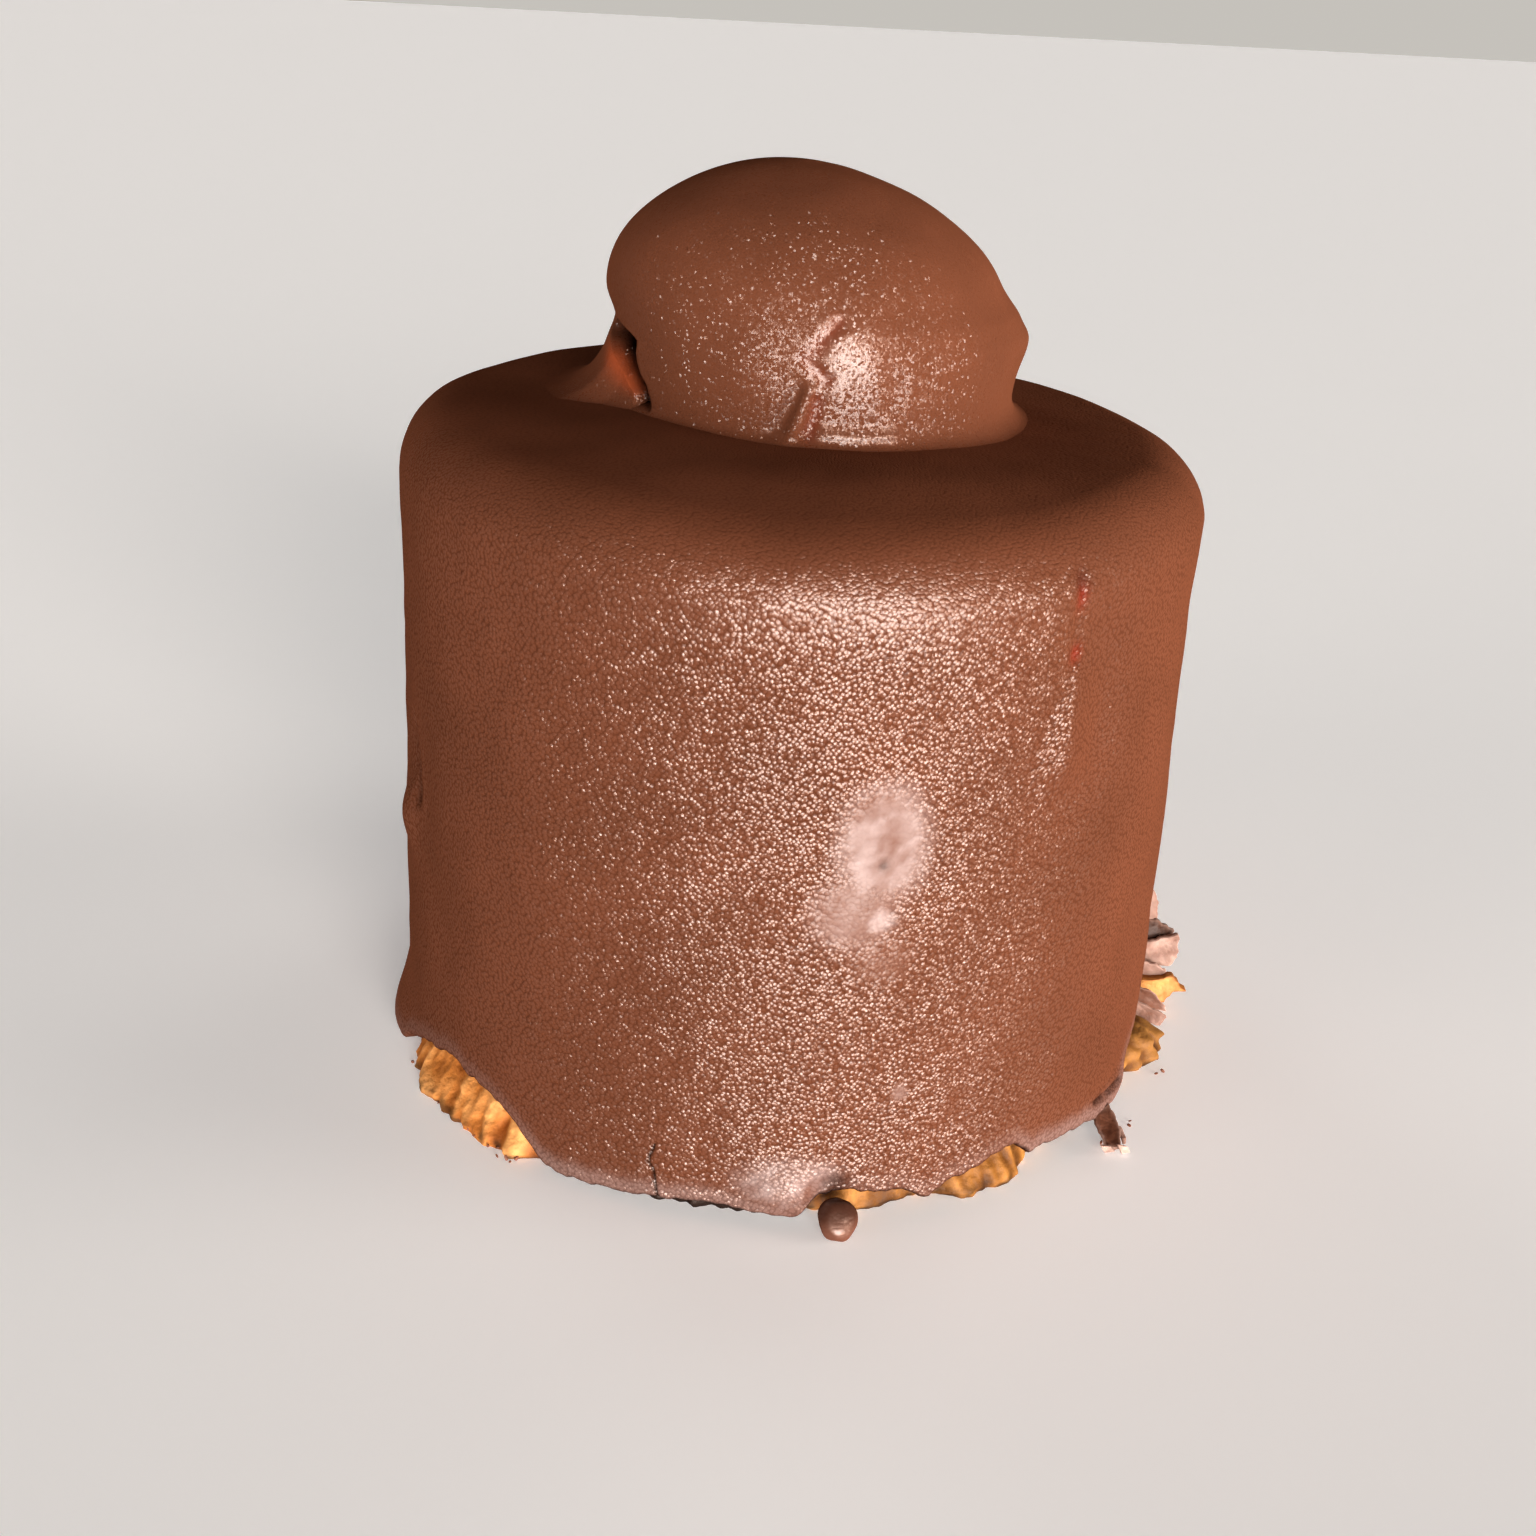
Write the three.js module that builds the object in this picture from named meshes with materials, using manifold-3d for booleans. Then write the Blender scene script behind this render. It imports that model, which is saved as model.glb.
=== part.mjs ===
// A single-portion profiterole cake: a tall round cake under a chocolate coat, one coated
// profiterole on its top and a golden pastry base that shows below the coat's uneven hem.
// Millimetres, +Z up. The origin is the centre of the base's underside, the front faces -Y.
import * as THREE from "three";
import { mergeVertices } from "three/addons/utils/BufferGeometryUtils.js";
import Module from "manifold-3d";

const wasm = await Module();
wasm.setup();

// Driving dimensions
const CAKE_RADIUS = 36; // at MID_HEIGHT
const MID_HEIGHT = 35;
const CAKE_TAPER = 0.022; // radius lost for each millimetre of height
const CAKE_HEIGHT = 60.4; // on the axis, coat included
const TOP_FALL = 0.024; // fall of the top face towards +X
const SHOULDER = 6; // rounding between the side and the top
const SKIRT_HEIGHT = 9; // part of the side that follows the hem
const HEM_CLEAR = 0.35; // lowest stretches of the hem above the ground
const GAP = 0.3; // kept between neighbouring solids

const BASE_RADIUS = 34.7;
const BASE_HEIGHT = 6;

const BUN_CENTRE = new THREE.Vector3(0.6, 4.5, 68.2);
const BUN_HALF = new THREE.Vector3(19, 18.2, 12.6);
const BUN_TILT = 10; // degrees, left side up
const COLLAR_TOP = 67;
const COLLAR_RADIUS = 18.1;
const COLLAR_FLARE = 2.6; // the glaze spreads this far at the collar's foot
const SLOT = { at: 195, half: 25, fade: 45 }; // degrees round the profiterole without a collar
const CURTAIN = { from: 118, to: 193, top: 69, radius: 17.4, spread: 4, thick: 1.6, root: 4 };

const CAKE_SEGMENTS = 104;
const WALL_STEPS = 13;
const ARC_STEPS = 5;
const BUN_SEGMENTS = 44;
const BUN_RINGS = 26;

// Where the hem rises and bares the base: angle round the cake, rise, half width in degrees
const HEM_RISES = [
  { at: -139, rise: 2.9, half: 15 },
  { at: -75, rise: 2.3, half: 5.5 },
  { at: -57, rise: 3.5, half: 7 },
  { at: -5, rise: 4.2, half: 17 },
  { at: 70, rise: 1.2, half: 13 },
  { at: 128, rise: 2.2, half: 12 },
];

// Swells and dents of the coat: angle, height, depth out of the wall, spread in degrees and mm
const COAT_RELIEF = [
  { at: -171, height: 0, out: 2.2, across: 13, along: 5 },
  { at: -160, height: 24.5, out: 0.9, across: 4, along: 3.5 },
  { at: -160, height: 31, out: -0.6, across: 4, along: 2.5 },
  { at: -53, height: 51, out: -0.5, across: 4, along: 6 },
  { at: -50, height: 44, out: 0.35, across: 4, along: 5 },
  { at: -18, height: 48, out: -0.35, across: 16, along: 6 },
  { at: -76, height: 35, out: -0.4, across: 6, along: 6 },
  { at: -86, height: 4, out: 0.6, across: 5, along: 3 },
];
const WAIST = { height: 46, depth: 0.2, along: 9 };

// Broken flakes of the coat at its right foot: they stand out of the wall or hang from the hem
const FLAKES = [
  { at: 6, reach: 2.6, height: 8, width: 4.5, tall: 7.5, lean: 14 },
  { at: 2, reach: 3.6, height: 6.4, width: 5, tall: 6.5, lean: 68 },
  { at: 12, reach: 3.2, height: 5.2, width: 4, tall: 6, lean: 50 },
  { at: -10, reach: 1.8, height: 5, width: 3.5, tall: 5, lean: 80 },
  { at: -37, reach: 1.1, height: 2.4, width: 2, tall: 3.4, lean: -16 },
];
const FLAKE_THICK = 1;

const BEAD = { at: -80, radius: 1.6, from_axis: 37.1, height: 1.75 };

// Lumps of the base that push out below the raised hem: angle, distance and half sizes
const BASE_LUMPS = [
  { at: -13, from_axis: 34.6, deep: 4.6, wide: 5.6, tall: 2.9 },
  { at: 3, from_axis: 35.2, deep: 5.2, wide: 4.8, tall: 3.1 },
];

const radians = THREE.MathUtils.degToRad;
const smoothstep = THREE.MathUtils.smoothstep;

function swell(distance, spread) {
  return Math.exp(-((distance / spread) ** 2));
}

function turnBetween(angle, other) {
  return Math.atan2(Math.sin(angle - other), Math.cos(angle - other));
}

function polar(distance, degrees, height) {
  const angle = radians(degrees);
  return new THREE.Vector3(distance * Math.cos(angle), distance * Math.sin(angle), height);
}

function wallRadius(height) {
  return CAKE_RADIUS - CAKE_TAPER * (height - MID_HEIGHT);
}

// Height of the hem above the ground at an angle round the cake: flat-topped rises on a low line
function hemHeight(angle) {
  let height = HEM_CLEAR + 0.15 * Math.sin(5 * angle + 1);
  for (const { at, rise, half } of HEM_RISES) {
    const away = turnBetween(angle, radians(at)) / radians(half);
    height += rise * Math.exp(-(away ** 4));
  }
  return height;
}

function coatRelief(angle, height) {
  let out = -WAIST.depth * swell(height - WAIST.height, WAIST.along);
  out += 0.12 * Math.sin(3 * angle + 0.6) + 0.1 * Math.sin(5 * angle + height / 14);
  for (const bump of COAT_RELIEF) {
    const away = turnBetween(angle, radians(bump.at));
    out += bump.out * swell(away, radians(bump.across)) * swell(height - bump.height, bump.along);
  }
  return out;
}

// Moves every vertex of a geometry by a function of its position
function reshape(geometry, move) {
  const position = geometry.attributes.position;
  const point = new THREE.Vector3();
  for (let i = 0; i < position.count; i += 1) {
    point.fromBufferAttribute(position, i);
    move(point);
    position.setXYZ(i, point.x, point.y, point.z);
  }
  return geometry;
}

function toSolid(geometry) {
  const bare = geometry.clone();
  bare.deleteAttribute("normal");
  bare.deleteAttribute("uv");
  const merged = mergeVertices(bare, 1e-4);
  return new wasm.Manifold(
    new wasm.Mesh({
      numProp: 3,
      vertProperties: merged.attributes.position.array,
      triVerts: new Uint32Array(merged.index.array),
    }),
  );
}

function toGeometry(solid) {
  const mesh = solid.getMesh();
  const geometry = new THREE.BufferGeometry();
  geometry.setAttribute("position", new THREE.BufferAttribute(mesh.vertProperties, 3));
  geometry.setIndex(new THREE.BufferAttribute(mesh.triVerts, 1));
  geometry.computeVertexNormals();
  return geometry;
}

// A profile of [radius, height] points turned round the Z axis
function turned(profile, segments) {
  const points = profile.map(([radius, height]) => new THREE.Vector2(radius, height));
  return new THREE.LatheGeometry(points, segments).rotateX(Math.PI / 2);
}

// The cake and its coat, with a recess for the base and a skirt that ends at the hem
function coatBody() {
  const recessRadius = BASE_RADIUS + GAP;
  const recessTop = BASE_HEIGHT + GAP;
  const shoulderStart = CAKE_HEIGHT - SHOULDER;
  const profile = [
    [0, recessTop],
    [recessRadius / 2, recessTop],
    [recessRadius, recessTop],
    [recessRadius, 0],
  ];
  for (let i = 0; i <= WALL_STEPS; i += 1) {
    const height = shoulderStart * (i / WALL_STEPS) ** 1.25;
    profile.push([wallRadius(height), height]);
  }
  const arcCentre = wallRadius(shoulderStart) - SHOULDER;
  for (let i = 1; i <= ARC_STEPS; i += 1) {
    const turn = ((i / ARC_STEPS) * Math.PI) / 2;
    profile.push([arcCentre + SHOULDER * Math.cos(turn), shoulderStart + SHOULDER * Math.sin(turn)]);
  }
  profile.push([arcCentre * 0.55, CAKE_HEIGHT], [0, CAKE_HEIGHT]);

  const body = turned(profile, CAKE_SEGMENTS);
  return reshape(body, (point) => {
    const radius = Math.hypot(point.x, point.y);
    const angle = Math.atan2(point.y, point.x);
    const height = point.z;
    const onWall = radius > recessRadius + GAP || (height > recessTop + GAP && radius > arcCentre);
    if (onWall) {
      const fade = 1 - smoothstep(height, shoulderStart, CAKE_HEIGHT);
      const scale = (radius + fade * coatRelief(angle, height)) / radius;
      point.x *= scale;
      point.y *= scale;
    }
    const inSkirt = radius > recessRadius - GAP && height < SKIRT_HEIGHT;
    if (inSkirt && !(radius < recessRadius + GAP && height > GAP)) {
      point.z += hemHeight(angle) * (1 - height / SKIRT_HEIGHT);
    }
    point.z -= (TOP_FALL * point.x * height) / CAKE_HEIGHT;
  });
}

// A thin broken piece with a slanted free edge, rooted in the wall
function flake({ at, reach, height, width, tall, lean }) {
  const slab = new THREE.BoxGeometry(FLAKE_THICK, width, tall);
  reshape(slab, (point) => {
    if (point.z > 0) {
      point.y *= 0.6;
      point.z += point.y * 0.35;
    }
  });
  const wall = wallRadius(height);
  slab.rotateY(radians(lean));
  slab.translate(wall + reach / 2, 0, height);
  slab.rotateZ(radians(at));
  return slab;
}

function coatedCake() {
  let solid = toSolid(coatBody());
  for (const piece of FLAKES) {
    solid = solid.add(toSolid(flake(piece)));
  }
  const bead = new THREE.SphereGeometry(BEAD.radius, 14, 10);
  const place = polar(BEAD.from_axis, BEAD.at, BEAD.height);
  bead.translate(place.x, place.y, place.z);
  return solid.add(toSolid(bead));
}

// The profiterole's own round, flatter at its upper right
function bunRound() {
  const round = new THREE.SphereGeometry(1, BUN_SEGMENTS, BUN_RINGS).rotateX(Math.PI / 2);
  const flatSide = new THREE.Vector3(0.84, 0, 0.54);
  reshape(round, (point) => {
    const turn = Math.acos(THREE.MathUtils.clamp(point.dot(flatSide), -1, 1));
    point.multiplyScalar(1 - 0.09 * swell(turn, 0.55));
  });
  round.scale(BUN_HALF.x, BUN_HALF.y, BUN_HALF.z);
  round.rotateY(radians(BUN_TILT));
  return round.translate(BUN_CENTRE.x, BUN_CENTRE.y, BUN_CENTRE.z);
}

// Glaze that fills in below the round from its front over the right to its back
function bunCollar() {
  const foot = CAKE_HEIGHT - 2;
  const profile = [[0, foot]];
  const steps = 6;
  for (let i = 0; i <= steps; i += 1) {
    const height = foot + ((COLLAR_TOP - foot) * i) / steps;
    const low = 1 - smoothstep(height, CAKE_HEIGHT, CAKE_HEIGHT + 4);
    profile.push([COLLAR_RADIUS + COLLAR_FLARE * low * low, height]);
  }
  profile.push([0, COLLAR_TOP]);
  const collar = turned(profile, BUN_SEGMENTS);
  reshape(collar, (point) => {
    const away = Math.abs(turnBetween(Math.atan2(point.y, point.x), radians(SLOT.at)));
    const keep = 0.5 + 0.5 * smoothstep(away, radians(SLOT.half), radians(SLOT.fade));
    point.x *= keep;
    point.y *= keep;
  });
  return collar.translate(BUN_CENTRE.x, BUN_CENTRE.y, 0);
}

// A curtain of glaze that hangs from the round's left overhang and leaves a hollow behind it,
// open at the front and rooted in the collar at the back
function bunCurtain() {
  const foot = CAKE_HEIGHT - 2;
  const curtain = new THREE.BoxGeometry(1, 1, 1, 2, 8, 6);
  reshape(curtain, (point) => {
    const degrees = THREE.MathUtils.lerp(CURTAIN.from, CURTAIN.to, point.y + 0.5);
    const height = THREE.MathUtils.lerp(foot, CURTAIN.top, point.z + 0.5);
    const low = 1 - smoothstep(height, CAKE_HEIGHT, CURTAIN.top);
    const outer = CURTAIN.radius + CURTAIN.spread * low * low;
    const rooted = CURTAIN.root * (1 - smoothstep(degrees, CURTAIN.from + 18, CURTAIN.from + 42));
    const radius = outer + (CURTAIN.thick + rooted) * (point.x - 0.5);
    point.copy(polar(radius, degrees, height));
  });
  return curtain.translate(BUN_CENTRE.x, BUN_CENTRE.y, 0);
}

// Everything below the cake's top face, which the profiterole doesn't reach
function belowTop() {
  const depth = 20;
  const block = new THREE.BoxGeometry(120, 120, depth);
  block.translate(0, 0, -depth / 2);
  block.rotateY(Math.atan(TOP_FALL));
  return block.translate(0, 0, CAKE_HEIGHT + GAP);
}

function coatedProfiterole() {
  const joined = toSolid(bunRound()).add(toSolid(bunCollar())).add(toSolid(bunCurtain()));
  return joined.subtract(toSolid(belowTop()));
}

// The pastry base: a ridged disc with a few lumps pushed out on the right
function pastryBase() {
  const profile = [
    [0, 0],
    [BASE_RADIUS - 0.6, 0],
    [BASE_RADIUS, 0.8],
    [BASE_RADIUS, BASE_HEIGHT - 1],
    [BASE_RADIUS - 1, BASE_HEIGHT],
    [0, BASE_HEIGHT],
  ];
  const disc = turned(profile, CAKE_SEGMENTS);
  reshape(disc, (point) => {
    const radius = Math.hypot(point.x, point.y);
    if (radius < BASE_RADIUS / 2) return;
    const angle = Math.atan2(point.y, point.x);
    const ridge = 0.25 * Math.sin(26 * angle) + 0.15 * Math.sin(9 * angle + 1) - 0.4;
    point.x *= (radius + ridge) / radius;
    point.y *= (radius + ridge) / radius;
  });
  let solid = toSolid(disc);
  for (const { at, from_axis, deep, wide, tall } of BASE_LUMPS) {
    const lump = new THREE.SphereGeometry(1, 16, 12).rotateX(Math.PI / 2);
    lump.scale(deep, wide, tall);
    lump.rotateZ(radians(at));
    const place = polar(from_axis, at, 0);
    lump.translate(place.x, place.y, place.z);
    solid = solid.add(toSolid(lump));
  }
  const ground = new THREE.BoxGeometry(120, 120, 20).translate(0, 0, -10);
  return solid.subtract(toSolid(ground));
}

const chocolate = new THREE.MeshStandardMaterial({ color: 0x74432d, roughness: 0.42, metalness: 0 });
const bunChocolate = new THREE.MeshStandardMaterial({ color: 0x7a462f, roughness: 0.4, metalness: 0 });
const pastry = new THREE.MeshStandardMaterial({ color: 0xd99a4e, roughness: 0.75, metalness: 0 });

function named(name, solid, material) {
  const mesh = new THREE.Mesh(toGeometry(solid), material);
  mesh.name = name;
  return mesh;
}

const cake = new THREE.Group();
cake.name = "profiterole_cake";
cake.add(named("pastry_base", pastryBase(), pastry));
cake.add(named("coated_cake", coatedCake(), chocolate));
cake.add(named("coated_profiterole", coatedProfiterole(), bunChocolate));

export default cake;
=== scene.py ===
# Profiterole cake, dressed over its frame: a fine-grained chocolate coat over a tall round cake,
# a coated profiterole on top, broken flakes at the right foot and a golden pastry base.
# Lengths are millimetres and angles are degrees unless a name says otherwise. Angles run round
# the cake from +X, so the front is at -90. Meshes are written in metres.
import math

import bpy
import numpy as np
from mathutils import Matrix, Vector, noise


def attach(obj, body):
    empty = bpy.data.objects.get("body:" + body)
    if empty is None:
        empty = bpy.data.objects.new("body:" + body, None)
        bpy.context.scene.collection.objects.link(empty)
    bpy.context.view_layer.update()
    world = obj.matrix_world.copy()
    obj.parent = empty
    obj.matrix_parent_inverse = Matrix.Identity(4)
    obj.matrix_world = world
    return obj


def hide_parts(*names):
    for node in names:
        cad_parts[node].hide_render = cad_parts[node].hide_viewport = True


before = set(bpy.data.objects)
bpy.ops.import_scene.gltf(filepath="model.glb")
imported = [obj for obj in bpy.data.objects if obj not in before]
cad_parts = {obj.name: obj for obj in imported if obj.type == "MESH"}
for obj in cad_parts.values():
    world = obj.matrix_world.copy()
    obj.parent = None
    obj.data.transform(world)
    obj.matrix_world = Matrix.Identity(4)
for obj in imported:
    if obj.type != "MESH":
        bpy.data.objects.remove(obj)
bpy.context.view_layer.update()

MM = 0.001
FRONT = -90.0

# The cake and its coat
CAKE_RADIUS = 36.0
MID_HEIGHT = 35.0
CAKE_TAPER = 0.022
CAKE_HEIGHT = 60.4
TOP_FALL = 0.024
SHOULDER = 6.0
SHOULDER_START = CAKE_HEIGHT - SHOULDER
RECESS_RADIUS = 35.0
RECESS_TOP = 6.3
LIP_HALF = 0.6
# The shoulder hangs a little lower at the front
SHOULDER_SAG = 1.4
SHOULDER_SAG_AT = -88.0
SHOULDER_SAG_SPREAD = 44.0
SAG_HEIGHTS = (CAKE_HEIGHT - 14.0, CAKE_HEIGHT - 2.0)
SAG_RADII = (23.0, 32.0)
# Sheen of the shoulder's front, where the grain is finer: angle and height, and their half widths
SHEEN = 0.42
SHEEN_AT = (-82.0, 55.0)
SHEEN_HALF = (26.0, 3.2)
# Lumps of the wall, the top and the hem's edge: how high, how wide and a seed
WALL_LUMPS = [(0.5, 17.0, 1), (0.16, 6.0, 2), (0.05, 2.4, 5)]
TOP_LUMPS = [(0.4, 15.0, 7), (0.1, 5.0, 8)]
HEM_RAGS = [(0.3, 1.7, 3), (0.26, 0.75, 4)]
# How much grain the top lacks, and the height from which the coat turns matt
TOP_SMOOTH = 0.5
TOP_MATT_FROM = CAKE_HEIGHT - 2.5

# Columns and rows of the coat's mesh
COAT_COLUMNS = 580
INNER_ROWS = 3
LIP_ROWS = 8
WALL_ROWS = 118
SHOULDER_ROWS = 20
TOP_ROWS = 14
# How the wall's rows crowd towards the hem, and the share of the top's radius at its last ring
ROW_CROWDING = 1.22
TOP_MIDDLE = 0.02
# How much closer the columns are at the front, with angle, full and outer half width, and at the
# crack, with angle and spread
FRONT_CLOSER = 2.0
FRONT_CLOSE = (FRONT, 95.0, 130.0)
CRACK_CLOSER = 6.0
CRACK_CLOSE = (-104.4, 0.9)

# The hem: height of the coat's lower edge at angles round the cake
HEM_LINE = [
    (-172, 0.3), (-162, 0.3), (-158.5, 0.6), (-156, 1.7), (-153, 2.9), (-148, 4.2),
    (-142.5, 5.1), (-139, 5.4), (-136, 4.9), (-132, 4.5), (-129, 4.0), (-126, 3.1),
    (-123.4, 1.7), (-121.6, 0.5), (-118, 0.25), (-112, 0.35),
    (-106, 0.75), (-101, 0.95), (-98.8, 1.2), (-93.3, 1.05), (-90, 0.8), (-86, 0.65), (-84.4, 1.0),
    (-83.2, 2.5), (-80, 2.95), (-75, 2.85), (-70.7, 2.45), (-67.2, 1.4), (-65, 2.6), (-61, 3.0),
    (-58, 3.8), (-55, 4.1), (-52.3, 3.4), (-50.6, 2.4), (-42, 2.0), (-36, 1.5), (-28, 0.9),
    (-25, 1.3), (-22.5, 3.0), (-14, 4.6), (4, 4.9), (13, 3.6), (20, 0.8), (40, 0.3), (58, 0.7),
    (70, 1.5), (82, 0.6), (104, 0.3), (118, 1.6), (128, 2.5), (139, 1.4), (150, 0.3), (168, 0.4),
]
HEM_SOFT = 0.7
# Lips of the hem that catch the light, and its shaded underside: angle, full and outer half width
FRONT_LIP = (-104.0, 14.0, 24.0)
RIGHT_LIP = (-39.0, 11.0, 17.0)
SHADED_LIP = (-88.0, 55.0, 75.0)
# A pale band along the hem, paler at the two lips, and their rim, partly the lip's own paler colour and
# partly painted highlight where the lips catch light from below: height above the hem and spread
BAND = (1.0, 0.9)
BAND_PALE = 0.06
FRONT_PALER = 0.12
RIGHT_PALER = 0.1
RIM = (0.45, 0.22)
RIM_HIGHLIGHT = 0.25
# Painted shade of the underside: how dark, where above the hem it starts and over what height it deepens
UNDERSIDE_DARK = 0.85
UNDERSIDE_TOP = 0.5
UNDERSIDE_FADE = 0.25

# Swells and dents of the wall: angle, height, outwards, spread round the cake in degrees and up it
WALL_SWELLS = [
    (-167, 0, 2.0, 14, 5),
    (-156, 25.5, 1.0, 3.2, 3.2),
    (-155, 31.5, -0.8, 3.0, 3.4),
    (-47, 47, -0.45, 6, 9),
    (-18, 48, -0.3, 16, 6),
    (-77, 34, -0.25, 6, 6),
    (-87, 3.5, 0.85, 4.5, 2.6),
    (-81.5, 3.6, -0.7, 2.6, 1.5),
    (-66, 11.3, 0.2, 1.4, 1.3),
    (-120, 40, 0.25, 14, 12),
    (-100, 18, 0.2, 10, 9),
    (-30, 1.9, 0.8, 9, 1.5),
    (80, 30, 0.35, 20, 14),
    (150, 12, 0.4, 16, 9),
    (35, 22, -0.3, 14, 10),
    (110, 48, -0.25, 12, 8),
]
# A faint waist all round the wall: height, depth and spread up it
WAIST_HEIGHT = 46.0
WAIST_DEPTH = 0.2
WAIST_ALONG = 9.0

# Narrow marks in the wall: a path of (angle, height), depth, half width and height of the rims.
# Dark ones have the half width of their painted shade, how dark it is and the lumps that break it up.
CREASE = {
    "path": [(-53.4, 57), (-53, 55), (-53.4, 52.5), (-52.8, 49.2)],
    "deep": 0.16, "half": 0.5, "rim": 0.03,
}
FOLD_SLOT = {
    "path": [(-154.5, 34.5), (-152.6, 30.7), (-152.2, 28.2)],
    "deep": 0.9, "half": 0.7, "rim": 0.15,
    "shade": 0.5, "dark": 0.5, "breaks": [],
}
HEM_SLIT = {
    "path": [(-36, 3.5), (-30.2, 3.1), (-26, 2.6)],
    "deep": 0.35, "half": 0.2, "rim": 0.12,
    "shade": 0.3, "dark": 0.75, "breaks": [(1.2, 1.1, 14)],
}
CRACK = {
    "path": [(-104.3, 6.6), (-105.2, 4.9), (-104.4, 3.9), (-104.1, 2), (-103.8, 1.2), (-104.6, 0.2)],
    "deep": 0.3, "half": 0.1, "rim": 0.02,
    "shade": 0.15, "dark": 0.95, "breaks": [],
}
DARK_MARKS = [FOLD_SLOT, HEM_SLIT, CRACK]

# A pleat at the right of the front, lit on its left: (height, angle) from its foot to its top
PLEAT_LINE = [(40.2, -53.7), (45.6, -52.8), (48.6, -52.6)]
# How far it stands out, how wide its left is at the foot and at the top, and how wide its right is
PLEAT_HEIGHT = 1.0
PLEAT_LEFT = 3.0
PLEAT_NARROW = 0.6
PLEAT_RIGHT = 5.0
# How much lower it is at its top, and how softly it ends, more so below its foot
PLEAT_LOWER_TOP = 0.7
PLEAT_FADE = 1.0
PLEAT_FADE_BELOW = 3.0

# Small red-brown spots in the crease, where the coat is thin: angle, height, half width, half height
RED_SPOTS = [(-53, 55.1, 0.55, 1.2), (-52.8, 49.8, 0.6, 0.75)]

# Rubbed places of the wall: angle, height, half width, half height, how smooth and how pale they are;
# the paleness is partly bloom and partly painted highlight, at the hem's bulge mostly painted highlight
RUBBED = [
    (-77.4, 35.6, 3.9, 5.4, 0.88, 0.38),
    (-80.6, 30, 3.8, 3.4, 0.75, 0.18),
    (-77.2, 29.2, 1.2, 1.2, 0.0, 0.5),
    (-76.6, 25.6, 2.8, 2.6, 0.5, 0.02),
    (-86.5, 4.4, 4.6, 2.6, 0.3, 0.32),
    (-72.5, 12.6, 0.7, 0.9, 0.8, 0.15),
]
# Streaks and patches of the rubbed places; patches are given as lumps are
STREAK_LONG = 3.2
STREAK_WIDE = 0.6
STREAK_SLOPE = 35.0
STREAK_HEIGHT = 0.03
STREAK_PALE = 0.5
RUBBED_PATCHES = [(0.5, 2.2, 9), (0.5, 0.7, 10)]
# A rubbed place's border, as shares of its half width, and how pale its patches are, with limits
RUBBED_BORDER = (0.5, 1.25)
PATCH_PALE = 0.85
PATCH_LIMITS = (0.2, 1.5)

# Small pits and hollows of the wall, darkened with painted shade: angle, height, reach, how dark
PITS = [(-77.3, 33.9, 0.4, 0.75), (-80.2, 4.1, 1.2, 0.7), (-53, 56.2, 0.9, 0.5)]

# Broken scabs of the wall, where the coat stuck to something: angle, height, reach
SCABS = [(-77.2, 29.2, 1.2), (-76.6, 23.3, 0.6), (-81.2, 12.2, 0.6), (-77.4, 33.8, 0.3), (-44.4, 3.1, 0.3)]
# How deep a broad scab is, its lumps and how far it is sunk, both as shares of that depth
SCAB_DEPTH = 0.3
SCAB_LUMPS = [(2.4, 0.9, 6)]
SCAB_SUNK = 0.5

# The profiterole: its own round leans left as it rises, and glaze fills in below its widest height
BUN_X = 0.6
BUN_Y = 4.5
BUN_WIDEST = 68.2
BUN_LEAN = 0.2095
BUN_HALF_X = 18.64
BUN_HALF_Y = 17.8
BUN_HALF_UP = 12.84
BUN_FOOT = CAKE_HEIGHT - 0.5
# How much flatter its right side and its crown are than an even round, and its lumps
RIGHT_FLATTER = 0.085
CROWN_FLATTER = 0.12
BUN_LUMPS = [(0.3, 13.0, 11), (0.1, 5.0, 12)]
# How the flatness gathers to the right, and the shares of the half height between which it sets in
RIGHT_GATHER = 1.5
RIGHT_SETS_IN = (-0.15, 0.25)
# The glaze sinks into the cake's top, draws in by this share as it falls, and flares at the front
FOOT_SUNK = 0.06
GLAZE_DRAW = 0.025
FRONT_FLARE = 0.7
FRONT_FLARE_AT = -82.0
FRONT_FLARE_HALF = 48.0

# Rounding between the glaze and the cake's top at angles round the profiterole
FILLETS = [
    (0, 2.4), (60, 3.0), (120, 3.6), (150, 4.8), (165, 6.6), (186, 7.0), (198, 6.2), (205, 2.8), (213, 0.9),
    (226, 0.9), (270, 1.5), (320, 1.9),
]

# The dark slot at the left: at each height, the curtain's edge and where the glaze starts again
SLOT_EDGES = [
    (60.4, 214, 220), (61.8, 213.4, 219), (63, 207.8, 217), (63.8, 203.4, 214), (64.75, 199, 212.5),
    (65.6, 194, 212), (66.1, 190, 212.4), (66.7, 188.5, 212.7), (67.2, 188, 208.5), (67.8, 188, 201),
    (68.4, 187.5, 194),
]
SLOT_TOP = 68.5
SLOT_TOP_FADE = 0.45
SLOT_FOOT = 60.6
SLOT_FOOT_FADE = 0.9
SLOT_DEPTH = 5.0
SLOT_BEHIND = 9.0
SLOT_SPREAD = 1.5
# Stops along a ring through the slot, as shares of the way, and how deep each is, as shares of the depth
SLOT_STOPS = [0.0, 0.18, 0.42, 0.78, 1.0]
SLOT_DEEP = [0.0, 0.45, 1.0, 0.8, 0.0]
# Shares of the depth between which the slot turns dark with painted shade, and how dark
SLOT_DARKENS = (0.12, 0.45)
SLOT_DARK = 0.95
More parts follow.
